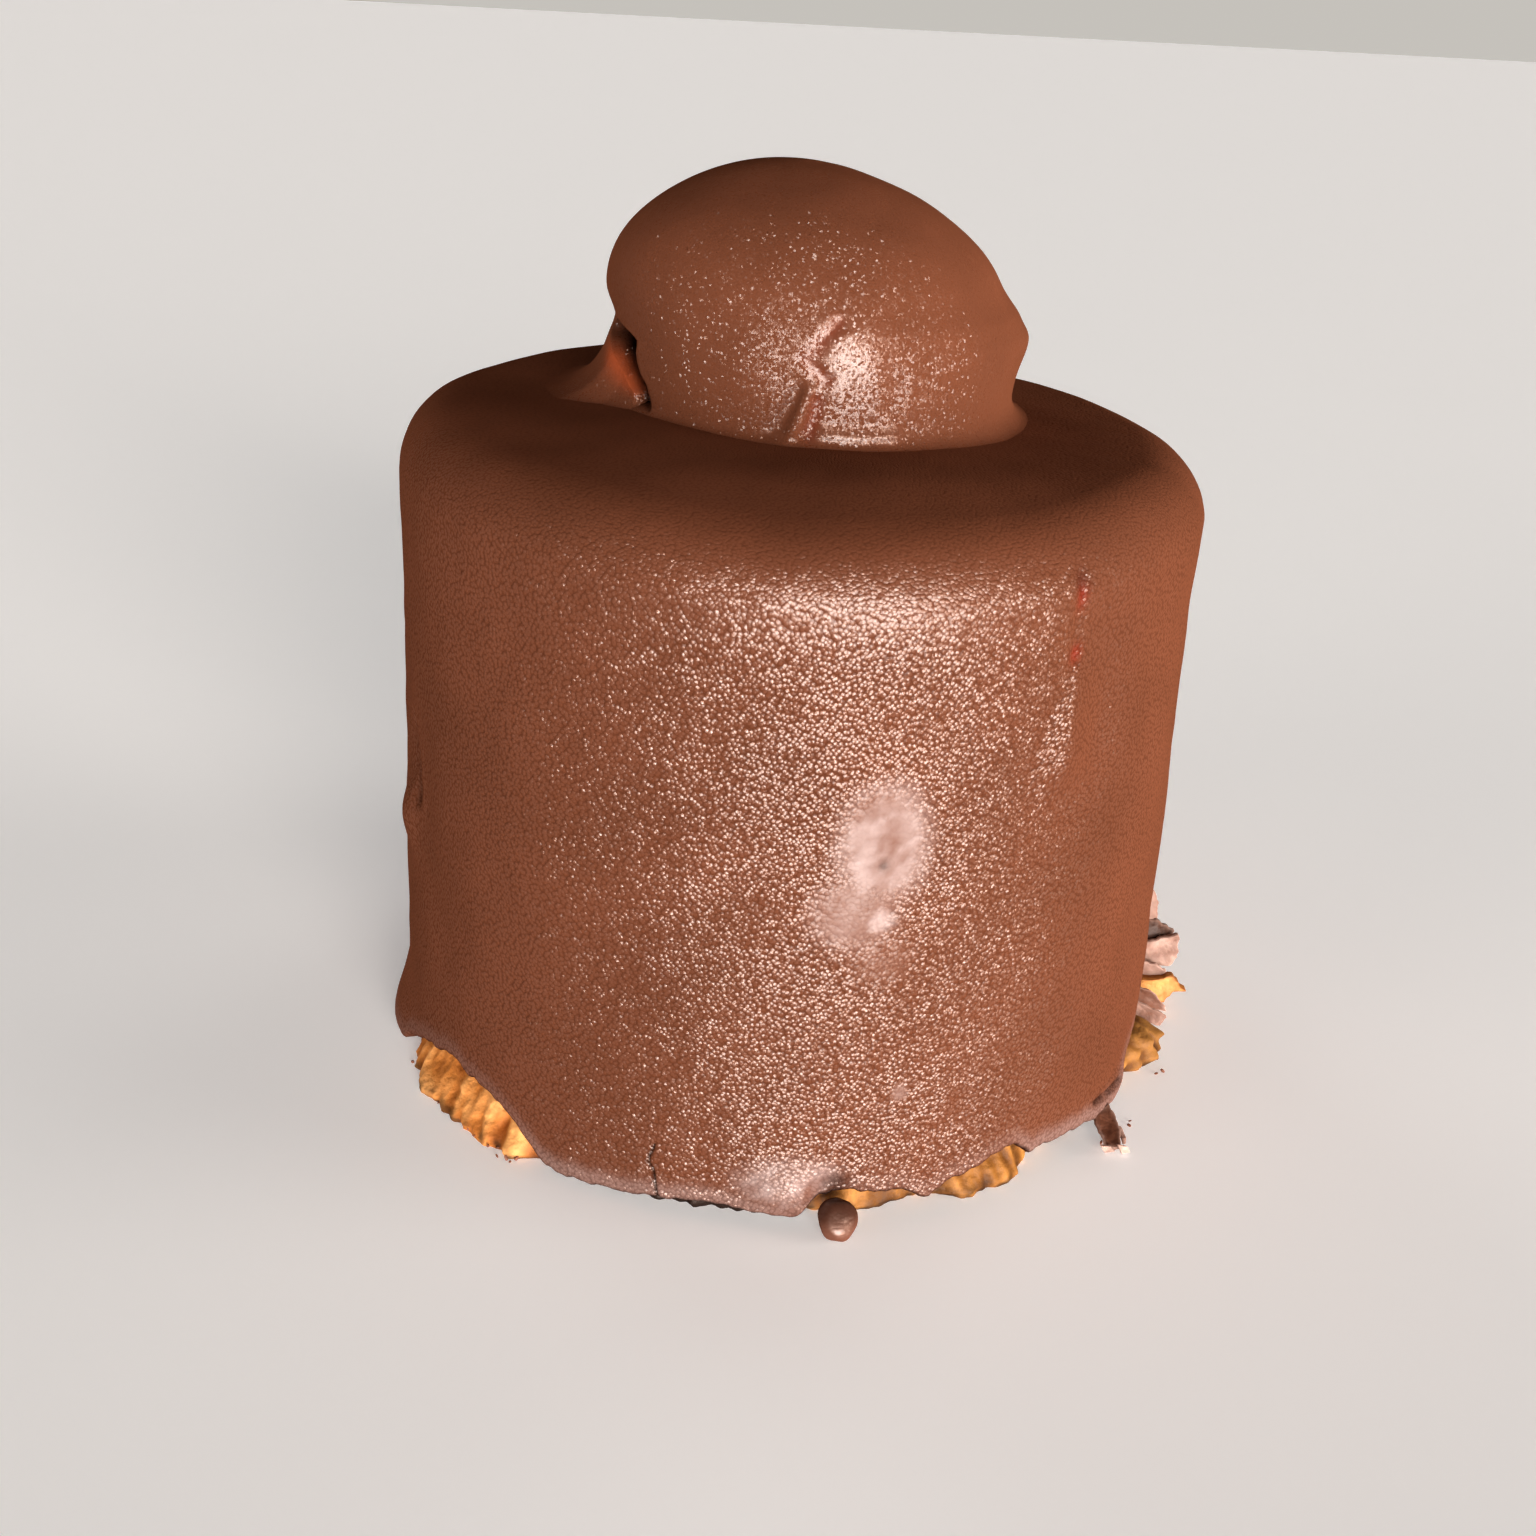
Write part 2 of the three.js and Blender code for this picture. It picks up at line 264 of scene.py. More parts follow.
# The curtain's edge is thin and carries a painted glow: heights over which that starts and ends, how
# many columns of the glaze it reaches and the share of the slot's columns
GLOW_STARTS = (61.0, 62.5)
GLOW_ENDS = (64.0, 66.0)
GLOW_COLUMNS = 6.0
GLOW_IN_SLOT = 0.4
CURTAIN_GLOW = 0.45

BUN_COLUMNS = 330
SLOT_COLUMNS = 64
FOOT_ROWS = 46
ROUND_ROWS = 84
# How the foot's rows crowd towards the cake's top, how far up the round the last ring is, and how much
# steeper than the round its swells point
FOOT_CROWDING = 1.35
ROUND_LAST = 88.5
SWELL_LIFT = 1.9

# Swells of the profiterole: angle round it, height, outwards, spread in degrees and up it
BUN_SWELLS = [
    (0, 66.6, 0.75, 16, 2.1),
    (187, 67.6, -0.85, 10, 1.3),
    (-79, 68.6, 0.4, 11, 3.2),
    (-108, 66.5, 0.25, 8, 3.0),
    (40, 74, 0.3, 30, 5),
    (130, 70, 0.4, 25, 5),
    (-150, 76, 0.25, 20, 5),
]

# Dents and a fold in the profiterole's front: a path of (x, height), depth, half width, rims, and
# for some the half width of their tone
BUN_DENT = {
    "path": [(2.2, 70.0), (1.2, 69.0), (-0.1, 67.2), (1.5, 65.7)],
    "deep": 0.22, "half": 0.52, "rim": 0.03, "tone": 0.6,
}
BUN_FOLD = {
    "path": [(0.1, 64.8), (-0.5, 62.8), (-1.2, 60.8)],
    "deep": -0.6, "half": 0.5, "rim": 0.0,
}
BUN_FOLD_SHADE = {
    "path": [(-0.5, 64.6), (-1.8, 62.6), (-2.8, 61)],
    "deep": 0.35, "half": 0.7, "rim": 0.0, "tone": 0.75,
}
BUN_FOLD_RIGHT = {
    "path": [(0.9, 64.0), (0.7, 62.6), (0.4, 61.4)],
    "deep": 0.25, "half": 0.45, "rim": 0.0, "tone": 0.6,
}
BUN_FOOT_RIDGE = {
    "path": [(1.4, 61.4), (4.2, 61.3), (7.4, 61.5)],
    "deep": -0.3, "half": 0.6, "rim": 0.0, "tone": 1.1,
}
BUN_SIDE_DENT = {
    "path": [(6.8, 66.2), (7.4, 65), (7.0, 63.9)],
    "deep": 0.16, "half": 0.7, "rim": 0.06,
}
BUN_MARKS = [BUN_DENT, BUN_FOLD, BUN_FOLD_SHADE, BUN_FOLD_RIGHT, BUN_FOOT_RIDGE, BUN_SIDE_DENT]
# Squares of the turns from the front between which the marks fade out
MARKS_FADE = (1800.0, 3000.0)
# Heights over which relief sets in, and over which the foot stops following the cake's top
RELIEF_STARTS = (CAKE_HEIGHT - 0.2, CAKE_HEIGHT + 1.2)
FOLLOW_ENDS = (CAKE_HEIGHT, CAKE_HEIGHT + 7.0)
# Rounding of the brow at the widest height, and how far up and down it is felt
BROW_ROUND = 1.3
BROW_SPREAD = 2.5
# Where the chocolate was stretched smooth beside the dent, as x and height, and how matt the rest is
GLOSS_AT = (3.2, 67.6)
GLOSS_HALF = (3.6, 3.6)
BUN_MATT = 0.45
# Grain that the dent, the fold and the stretched chocolate lack, how dark the fold's painted shade is,
# and how red the marks are
DENT_SMOOTH = 0.6
GLOSS_SMOOTH = 0.7
FOLD_DARK = 0.12
DENT_RED = 0.3
FOLD_RED = 0.4

# The pastry base, ribbed from its tin, with a foot that spreads where the hem bares it
BASE_RADIUS = 34.6
BASE_HEIGHT = 6.0
BASE_COLUMNS = 900
BASE_ROWS = 34
BASE_INNER = 0.6
# Ribs, with their turn in degrees for each millimetre up, and how many times longer than wide they are
RIB_SIZE = 0.95
RIB_DEPTH = 0.5
RIB_SLANT = 0.4
RIB_LONGER = 6.0
# How much the ribs' relief tints them: painted shade in the grooves and painted highlight on top
RIB_TONE = 0.8
# Where the foot spreads: angle, outwards and half width; then its height and its curve
FOOT_SPREADS = [(-141, 3.9, 20), (-99, 1.15, 15), (-57, 2.4, 7.5), (-75, 1.0, 7), (128, 1.6, 12)]
FOOT_HEIGHT = 5.0
FOOT_CURVE = 1.2
# Rounding of the base's lower edge, and how far up it is felt
EDGE_ROUND = 0.5
EDGE_SPREAD = 0.35
# Lumps pushed out of the base: angle, outwards, spread and height
BASE_LUMPS = [(-13, 5.0, 7, 3.9), (2, 5.6, 4.5, 3.0)]
# Where the base is torn, angle and spread, and the heights between which the coat hides its lumps
TORN_AT = -8.0
TORN_SPREAD = 14.0
TORN_LESS_BROWN = 0.15
TORN_DARK = 0.62
HIDDEN_HEIGHTS = (3.5, 5.2)
# Folds of the whole base, folds where it is torn, and its fine crumble
BASE_FOLDS = [(0.5, 2.6, 22)]
TORN_FOLDS = [(1.5, 1.5, 24)]
BASE_CRUMBLE = [(0.25, 0.8, 23)]
# The dark band at the foot, partly browned crust and partly painted shade where it meets the ground:
# heights over which it ends, how dark, at most, and its lumps
FOOT_BAND_ENDS = (0.4, 1.4)
FOOT_BAND_DARK = 0.45
FOOT_BAND_DARKEST = 0.8
FOOT_BAND_LUMPS = [(1.6, 1.2, 25)]

# The gap below the front of the hem, darkened with painted shade: angle, full and outer half width
HEM_GAP = (-99.0, 15.0, 17.0)

# Where the pastry stays pale gold, partly its bake and partly painted light thrown up on the left of
# the foot: angle, full and outer half width; elsewhere it is browner
GOLDEN = (-138.0, 40.0, 64.0)

# The drop of chocolate at the front of the hem: its place, half sizes, lean and lumps, then its tones,
# with the lifts, in radians, between which painted shade under the overhanging hem darkens its top
DROP = {
    "angle": -80.2, "from_axis": 37.9, "height": 1.5,
    "wide": 1.7, "deep": 1.4, "tall": 1.5,
    "lean": 0.35, "lumps": [(0.12, 2.0 / 3.0, 31)],
    "grain": 0.15, "pale": 0.03, "dark": 0.6, "darkens": (-0.4, 0.7),
}

# Broken flakes of the coat at the right foot: corners of (angle, distance from the axis, height),
# thickness, bow, how dark, which is painted shade where a flake lies in shadow, and how pale
FLAKES = [
    ([(5, 36.4, 12.9), (5.8, 38.7, 12.3), (5.8, 39.6, 10.6), (5.8, 39.8, 8.6),
      (6.2, 38, 8), (5.6, 36.5, 8.6)],
     0.5, 0.2, 0.0, 0.45),
    ([(6.6, 36.5, 9), (6.2, 40.2, 8.2), (6, 42, 7), (6, 42, 5.6), (6.4, 39.4, 4.4), (7, 36.6, 4.4)],
     0.6, -0.5, 0.85, 0.0),
    ([(4.4, 37.4, 5.6), (4.3, 40.1, 6.9), (4.1, 41.9, 7.4), (4.1, 42.2, 4.7),
      (4.2, 41.3, 3.6), (4.4, 38.4, 3.5)],
     0.9, 0.4, 0.0, 0.8),
    ([(2.3, 37, 4.8), (2.2, 39.3, 4.6), (2.1, 40.8, 3.9), (2.1, 40.3, 2.8),
      (2.2, 39, 2), (2.4, 37.2, 2.2)],
     0.7, 0.4, 0.0, 0.35),
    ([(-3, 36.8, 4.1), (-2.4, 38.9, 3.1), (-1.6, 40.4, 1.3), (-1.4, 40.7, 0.5),
      (-2.6, 38.9, 0.9), (-3.4, 36.9, 2.3)],
     0.6, 0.3, 0.2, 0.05),
    ([(-7.7, 36.7, 4.1), (-7.4, 39.1, 3), (-7.2, 40.1, 2.4), (-7.3, 39.5, 1.4),
      (-7.5, 38.3, 1.5), (-7.9, 36.8, 2.2)],
     0.6, 0.3, 0.0, 0.4),
    ([(8.5, 36.4, 7.6), (10, 39.8, 6.2), (11.5, 40.1, 4.4), (12.5, 39.2, 2.8), (11.5, 36.5, 3.6)],
     0.8, 0.4, 0.0, 0.05),
    ([(-35.2, 36.8, 1.9), (-32.4, 37.4, 2), (-34.4, 39.3, 1.1), (-37, 40.4, 0.5),
      (-38.1, 39.6, 0.4), (-36.8, 38, 1)],
     0.7, 0.2, 0.35, 0.0),
    ([(-39, 39.0, 0.9), (-38.3, 39.8, 1.0), (-38, 40.2, 0.5), (-38.8, 39.5, 0.3)],
     0.45, 0.1, 0.0, 0.75),
    ([(-37.6, 40.2, 1.1), (-36.7, 40.9, 0.8), (-36.6, 41.2, 0.3), (-37.5, 40.7, 0.3)],
     0.45, 0.1, 0.0, 0.75),
    ([(-34.4, 39.2, 1.3), (-35.6, 40.2, 0.9), (-35.9, 40.4, 0.5), (-34.8, 39.6, 0.7)],
     0.4, 0.1, 0.0, 0.6),
]
FLAKE_COLUMNS = 72
FLAKE_ROWS = 12
# A flake's first ring, as a share of the way from its middle to its edge, and how its rings crowd
FLAKE_MIDDLE = 0.06
FLAKE_CROWDING = 0.7
# Rags of a flake's edge, as shares of the way, and lumps of its faces: how high and how wide
FLAKE_RAGS = [(0.16, 1.1), (0.112, 0.45)]
FLAKE_LUMPS = (0.08, 0.8)
FLAKE_EDGE_THINNER = 0.35
FLAKE_SEED = 41
# Tones of a flake's broken edge: how pale it is at least, and how much less dark
BREAK_PALE = 0.5
BREAK_LIGHTER = 0.6

# A flake of pastry that points out of the right foot: corners, thickness and bow
PASTRY_FLAKES = [
    ([(1.5, 37.2, 2.9), (1.4, 40.1, 3.4), (1.4, 41.3, 3.6), (1.4, 42.1, 2.8),
      (1.3, 43, 2), (1.4, 41.6, 1.8), (1.4, 40.9, 0.4), (1.5, 38, 0.6)],
     1.4, 0.5),
]
PASTRY_FLAKE_SEED = 91
# Tones of a pastry flake, in its middle and at its edge
PASTRY_FLAKE_RIB = (0.75, 0.35)
PASTRY_FLAKE_BROWN = (0.15, 0.65)

# Crumbs beside the broken stretches of the foot: from and to an angle, nearest and furthest
CRUMB_ARCS = [(-154, -124, 37.2, 38.2), (-38, -28, 38.0, 39.6), (-22, 8, 38.4, 40.2)]
CRUMB_SIZE = 0.42
CRUMBS_PER_SQUARE_METRE = 500000.0
CRUMB_SEED = 5

# Far lights: angle round the cake, angle above the ground, strength, spread, colour, and whether matt
# and glossy surfaces show them
FAR_LIGHTS = {
    "gleam": (-72.0, -5.0, 7.4, 40.0, "#fff8f5", False, True),
    "wide_gleam": (-68.0, -5.0, 12.0, 76.0, "#ffcdb0", False, True),
    "key": (-66.0, 7.5, 4.5, 30.0, "#fff2e6", True, False),
    "thrown_up": (-66.0, -18.0, 2.2, 34.0, "#fff0e6", True, False),
    "right_fill": (-4.0, 2.0, 4.5, 34.0, "#fff4ea", True, False),
    "left_fill": (-145.0, 2.0, 1.9, 34.0, "#fff2e6", True, False),
    "back_right": (48.0, 2.0, 2.2, 34.0, "#fff6ee", True, False),
    "back_left": (132.0, 2.0, 2.0, 34.0, "#fff6ee", True, False),
}
# The backdrop's strength, as a light and as it is seen
BACKDROP_LIGHT = 0.035
BACKDROP_SEEN = 0.56

# The photograph's camera, in millimetres, its roll and its lens for a picture of this width
CAMERA_AT = (0.0, -143.93, 92.07)
CAMERA_AIM = (-1.69, 0.0, 25.11)
CAMERA_ROLL = 2.97
CAMERA_LENS = 37.97
CAMERA_WIDTH = 36.0


# Small helpers

def swell(distance, spread):
    """One at no distance, fading to nothing over about two spreads."""
    return np.exp(-((distance / spread) ** 2))


def ramp(value, start, end):
    """A smooth rise from 0 at start to 1 at end."""
    share = np.clip((value - start) / (end - start), 0.0, 1.0)
    return share * share * (3.0 - 2.0 * share)


def turn_between(angles, other):
    """The turn from the other angle, from -180 to 180."""
    return (angles - other + 180.0) % 360.0 - 180.0


def unevenness(points, size, seed):
    """Smooth noise at each point, mostly from -0.6 to 0.6, with lumps of that size."""
    shift = Vector((17.3 * seed, 9.1 * seed, 5.7 * seed))
    values = [noise.noise(Vector(point) + shift) for point in points.reshape(-1, 3) / size]
    return np.array(values).reshape(points.shape[:-1])


def lumpy(points, lumps):
    """Smooth noise at each point from lumps of (height, size, seed)."""
    return sum(height * unevenness(points, size, seed) for height, size, seed in lumps)


def within(angles, at, full, outer):
    """One up to the full turn from an angle, fading to nothing at the outer turn."""
    return ramp(-np.abs(turn_between(angles, at)), -outer, -full)


def unrolled(angles):
    """Distance round the wall from the middle of the front."""
    return np.radians(turn_between(angles, FRONT)) * CAKE_RADIUS


def path_gap(across, up, path):
    """Distance of each point from a path, on the unrolled surface."""
    nearest = np.full(across.shape, np.inf)
    for (across_0, up_0), (across_1, up_1) in zip(path, path[1:]):
        run = across_1 - across_0
        rise = up_1 - up_0
        share = ((across - across_0) * run + (up - up_0) * rise) / (run * run + rise * rise)
        share = np.clip(share, 0.0, 1.0)
        gap = np.hypot(across - across_0 - share * run, up - up_0 - share * rise)
        nearest = np.minimum(nearest, gap)
    return nearest


def wall_gap(angles, heights, path):
    """Distance of each point of the wall from a path of (angle, height)."""
    return path_gap(unrolled(angles), heights, [(unrolled(angle), height) for angle, height in path])


def spot_gap(across, up, middle, halves):
    """Distance from the middle of an oval spot, one at its edge."""
    return np.hypot((across - middle[0]) / halves[0], (up - middle[1]) / halves[1])


def mark_relief(gap, mark):
    """Outward relief of a narrow mark: a groove or a ridge with raised rims."""
    rims = mark["rim"] * swell(gap - 2.0 * mark["half"], mark["half"])
    return rims - mark["deep"] * swell(gap, mark["half"])


def polar(angles, distance, height):
    """Points from an angle round the cake, a distance from its axis and a height."""
    turn = np.radians(angles)
    return np.stack(np.broadcast_arrays(distance * np.cos(turn), distance * np.sin(turn), height), axis=-1)


# Meshes

def mesh_piece(name, points, faces, material, marks=None):
    """A smooth mesh object at the origin, with named marks on its vertices."""
    mesh = bpy.data.meshes.new(name)
    mesh.from_pydata((points * MM).tolist(), [], faces)
    mesh.polygons.foreach_set("use_smooth", [True] * len(mesh.polygons))
    for mark, values in (marks or {}).items():
        layer = mesh.attributes.new(mark, "FLOAT", "POINT")
        layer.data.foreach_set("value", np.asarray(values, dtype=float).ravel())
    mesh.materials.append(material)
    piece = bpy.data.objects.new(name, mesh)
    bpy.context.scene.collection.objects.link(piece)
    return piece


def ring_faces(rows, columns):
    """Faces of closed rings that run up a wall, with a pole before the first and after the last."""
    index = np.arange(rows * columns).reshape(rows, columns)
    beside = np.roll(index, -1, axis=1)
    quads = np.stack([index[:-1], beside[:-1], beside[1:], index[1:]], axis=-1).reshape(-1, 4)
    first = np.full(columns, rows * columns)
    last = first + 1
    lower = np.stack([first, beside[0], index[0]], axis=-1)
    upper = np.stack([last, index[-1], beside[-1]], axis=-1)
    return quads.tolist() + lower.tolist() + upper.tolist()


def with_poles(rings):
    """Values of all rings in one row, then the mean of the first ring and of the last, for the poles."""
    in_a_row = rings.reshape(-1, *rings.shape[2:])
    return np.concatenate([in_a_row, rings[:1].mean(axis=1), rings[-1:].mean(axis=1)])


def ring_piece(name, rings, material, marks):
    """A closed piece from rings of points, with a pole in the middle of the first and last ring."""
    whole = {mark: with_poles(values) for mark, values in marks.items()}
    return mesh_piece(name, with_poles(rings), ring_faces(*rings.shape[:2]), material, whole)


# The chocolate coat

def coat_angles():
    """Column angles, closer together at the front and closest at the crack."""
    fine_steps = 7200
    crack_at, crack_spread = CRACK_CLOSE
    fine = np.linspace(-180.0, 180.0, fine_steps + 1)
    density = 1.0 + FRONT_CLOSER * within(fine, *FRONT_CLOSE)
    density += CRACK_CLOSER * swell(turn_between(fine, crack_at), crack_spread)
    travelled = np.concatenate([[0.0], np.cumsum((density[1:] + density[:-1]) / 2.0)])
    steps = np.arange(COAT_COLUMNS) / COAT_COLUMNS * travelled[-1]
    return np.interp(steps, travelled, fine)


def hem_height(angles):
    """The coat's lower edge, softened at the corners of its line and ragged like torn chocolate."""
    step = 0.25
    reach = 8
    fine = np.arange(-180.0, 180.0, step)
    at, height = np.array(HEM_LINE).T
    line = np.interp(fine, at, height, period=360.0)
    kernel = swell(np.arange(-reach, reach + 1) * step, HEM_SOFT)
    around = np.concatenate([line[-reach:], line, line[:reach]])
    soft = np.convolve(around, kernel / kernel.sum(), "valid")
    edge = polar(angles, CAKE_RADIUS, 0.0)
    return np.interp(angles, fine, soft, period=360.0) + lumpy(edge, HEM_RAGS)


def wall_radius(height):
    return CAKE_RADIUS - CAKE_TAPER * (height - MID_HEIGHT)


def wall_relief(angles, heights, points):
    """How far the coat stands out of the plain wall."""
    across = unrolled(angles)
    out = lumpy(points, WALL_LUMPS) - WAIST_DEPTH * swell(heights - WAIST_HEIGHT, WAIST_ALONG)
    for at, height, outwards, spread, along in WALL_SWELLS:
        out += outwards * swell(turn_between(angles, at), spread) * swell(heights - height, along)
    for mark in [CREASE] + DARK_MARKS:
        out += mark_relief(wall_gap(angles, heights, mark["path"]), mark)
    out += pleat_relief(across, heights)
    out += STREAK_HEIGHT * rubbed_share(angles, heights)[0] * streaks(across, heights)
    broken = lumpy(points, SCAB_LUMPS) - SCAB_SUNK
    for at, height, reach in SCABS:
        spot = swell(spot_gap(across, heights, (unrolled(at), height), (reach, reach)), 1.0)
        out += SCAB_DEPTH * min(reach, 1.0) * spot * broken
    return out


def pleat_relief(across, heights):
    """A pleat that rises slowly from its left and drops away on its right."""
    at, angle = np.array(PLEAT_LINE).T
    gap = across - unrolled(np.interp(heights, at, angle))
    slender = np.clip((heights - at[0]) / (at[-1] - at[0]), 0.0, 1.0)
    left = PLEAT_LEFT + (PLEAT_NARROW - PLEAT_LEFT) * slender
    rise = np.where(gap < 0.0, np.clip(1.0 + gap / left, 0.0, 1.0), 1.0 - ramp(gap, 0.0, PLEAT_RIGHT))
    along = ramp(heights, at[0] - PLEAT_FADE_BELOW, at[0] + PLEAT_FADE)
    along *= 1.0 - ramp(heights, at[-1] - PLEAT_FADE, at[-1] + PLEAT_FADE)
    return PLEAT_HEIGHT * (1.0 - PLEAT_LOWER_TOP * slender) * rise * along


def rubbed_share(angles, heights):
    """How smooth and how pale (partly painted highlight) the wall's rubbed places are, with soft borders.
    """
    across = unrolled(angles)
    smooth = np.zeros(across.shape)
    pale = np.zeros(across.shape)
    for at, height, half_across, half_up, smoothness, paleness in RUBBED:
        gap = spot_gap(across, heights, (unrolled(at), height), (half_across, half_up))
        share = 1.0 - ramp(gap, *RUBBED_BORDER)
        smooth = np.maximum(smooth, smoothness * share)
        pale = np.maximum(pale, paleness * share)
    return smooth, pale


def streaks(across, heights):
    """Fine slanting streaks left by rubbing."""
    slope = math.radians(STREAK_SLOPE)
    along = across * math.cos(slope) + heights * math.sin(slope)
    over = heights * math.cos(slope) - across * math.sin(slope)
    spots = np.stack([along / STREAK_LONG, over / STREAK_WIDE, np.zeros(along.shape)], axis=-1)
    return unevenness(spots, 1.0, 13)


def red_share(angles, heights):
    """One in the red-brown spots of the crease."""
    across = unrolled(angles)
    share = np.zeros(across.shape)
    for at, height, half_across, half_up in RED_SPOTS:
        gap = spot_gap(across, heights, (unrolled(at), height), (half_across, half_up))
        share = np.maximum(share, swell(gap, 1.0))
    return share


def coat_shade(angles, heights, hem, plain):
    """How dark the painted shade is: in the crack, the slit and the pits, and below the front of the lip.
    """
    across = unrolled(angles)
    shade = np.zeros(across.shape)
    for mark in DARK_MARKS:
        deepest = np.clip(mark["dark"] + lumpy(plain, mark["breaks"]), 0.0, 1.0)
        gap = wall_gap(angles, heights, mark["path"])
        shade = np.maximum(shade, deepest * swell(gap, mark["shade"]))
    for at, height, reach, deepest in PITS:
        gap = spot_gap(across, heights, (unrolled(at), height), (reach, reach))
        shade = np.maximum(shade, deepest * swell(gap, 1.0))
    underside = ramp(hem + UNDERSIDE_TOP - heights, 0.0, UNDERSIDE_FADE) * within(angles, *SHADED_LIP)
    return np.maximum(shade, UNDERSIDE_DARK * underside)


def pale_hem(angles, above_hem):
    """How pale the hem is: a band along it and a rim where the lips catch light, partly painted highlight.
    """
    front = within(angles, *FRONT_LIP)
    right = within(angles, *RIGHT_LIP)
    band_height, band_spread = BAND
    rim_height, rim_spread = RIM
    band = BAND_PALE + FRONT_PALER * front + RIGHT_PALER * right
    rim = RIM_HIGHLIGHT * np.maximum(front, right)
    return np.maximum(
        band * swell(above_hem - band_height, band_spread), rim * swell(above_hem - rim_height, rim_spread))


def coat_rings(angles):
    """Radius and height of every ring, from the recess over the hem and the wall to the top."""
    hem = hem_height(angles)
    lip_middle = RECESS_RADIUS + LIP_HALF
    radii = []
    heights = []
    for share in np.linspace(0.0, 1.0, INNER_ROWS):
        radii.append(np.full(angles.shape, RECESS_RADIUS))
        heights.append(RECESS_TOP + (hem + LIP_HALF - RECESS_TOP) * share)
    for turn in np.radians(np.linspace(180.0, 360.0, LIP_ROWS)[1:]):
        outer = ramp(np.full(angles.shape, math.cos(turn)), -1.0, 1.0)
        edge = lip_middle + LIP_HALF * math.cos(turn)
        radii.append(edge + (wall_radius(hem) - lip_middle - LIP_HALF) * outer)
        heights.append(hem + LIP_HALF + LIP_HALF * math.sin(turn))
    for share in (np.arange(1, WALL_ROWS + 1) / WALL_ROWS) ** ROW_CROWDING:
        height = hem + LIP_HALF + (SHOULDER_START - hem - LIP_HALF) * share
        radii.append(wall_radius(height))
        heights.append(height)
    arc_middle = wall_radius(SHOULDER_START) - SHOULDER
    for turn in np.radians(np.linspace(0.0, 90.0, SHOULDER_ROWS + 1)[1:]):
        radii.append(np.full(angles.shape, arc_middle + SHOULDER * math.cos(turn)))
        heights.append(np.full(angles.shape, SHOULDER_START + SHOULDER * math.sin(turn)))
    for share in np.linspace(1.0, TOP_MIDDLE, TOP_ROWS + 1)[1:]:
        radii.append(np.full(angles.shape, arc_middle * share))
        heights.append(np.full(angles.shape, CAKE_HEIGHT))
    return np.array(radii), np.array(heights), hem


def lower_to_the_right(points):
    """The whole cake is a little lower on its right, in step with the height."""
    points[..., 2] -= TOP_FALL * points[..., 0] * points[..., 2] / CAKE_HEIGHT


def top_relief(points):
    """How far the cake's top rises or sinks at the place of each point."""
    return lumpy(points * np.array([1.0, 1.0, 0.0]), TOP_LUMPS)


def cake_coat(material):
    angles = coat_angles()
    radii, heights, hem = coat_rings(angles)
    around = np.broadcast_to(angles, radii.shape)
    plain = polar(around, radii, heights)
    outer_rows = INNER_ROWS + LIP_ROWS // 2
    on_wall = np.zeros(radii.shape)
    on_wall[outer_rows:] = 1.0
    on_wall *= 1.0 - ramp(heights, SHOULDER_START, CAKE_HEIGHT)
    radii = radii + on_wall * wall_relief(around, heights, plain)
    points = polar(around, radii, heights)

    top = ramp(heights, SHOULDER_START, CAKE_HEIGHT)
    points[..., 2] += top * top_relief(points)
    lower_to_the_right(points)
    sag = SHOULDER_SAG * swell(turn_between(around, SHOULDER_SAG_AT), SHOULDER_SAG_SPREAD)
    points[..., 2] -= sag * ramp(heights, *SAG_HEIGHTS) * ramp(radii, *SAG_RADII)

    smooth, rubbed = rubbed_share(around, heights)
    patchy = PATCH_PALE + lumpy(plain, RUBBED_PATCHES) + STREAK_PALE * streaks(unrolled(around), heights)
    lip = pale_hem(around, heights - hem)
    sheen_gap = spot_gap(turn_between(around, SHEEN_AT[0]), heights, (0.0, SHEEN_AT[1]), SHEEN_HALF)
    # Pale is bloom on rubbed places, partly painted highlight there and on the hem's lips; dark is painted
    # shade
    marks = {
        "grain": (1.0 - TOP_SMOOTH * top) * (1.0 - smooth) * (1.0 - SHEEN * swell(sheen_gap, 1.0)),
        "matt": np.maximum(ramp(heights, TOP_MATT_FROM, CAKE_HEIGHT), smooth),
        "pale": np.maximum(rubbed * np.clip(patchy, *PATCH_LIMITS) * (1.0 - top), lip),
        "dark": coat_shade(around, heights, hem, plain),
        "red": red_share(around, heights),
    }
    return ring_piece("cake_coat", points, material, marks)


# The coated profiterole

def bun_section(turns, height):
    """Distance of the profiterole's own round from its leaning axis."""
    rise = (height - BUN_WIDEST) / BUN_HALF_UP
    section = 1.0 / np.hypot(np.cos(turns) / BUN_HALF_X, np.sin(turns) / BUN_HALF_Y)
    right = (0.5 + 0.5 * np.cos(turns)) ** RIGHT_GATHER
    flatter = RIGHT_FLATTER * right * ramp(rise, *RIGHT_SETS_IN) + CROWN_FLATTER * rise**4
    return section * np.sqrt(1.0 - rise * rise) * (1.0 - flatter)


def round_point(degrees, height):
    """Where the profiterole's own round is, as x and y."""
    turns = np.radians(degrees)
    reach = bun_section(turns, height)
    middle = BUN_X - BUN_LEAN * (height - BUN_WIDEST)
    return np.stack([middle + reach * np.cos(turns), BUN_Y + reach * np.sin(turns)], axis=-1)


def glaze_point(degrees, height):
    """Where the glaze is, with the brow at the widest height rounded off."""
    reach = BROW_ROUND * swell(height - BUN_WIDEST, BROW_SPREAD)
    levels = [height + share * reach for share in (-1.0, -0.5, 0.5, 1.0)]
    return sum(plain_glaze_point(degrees, level) for level in levels) / len(levels)


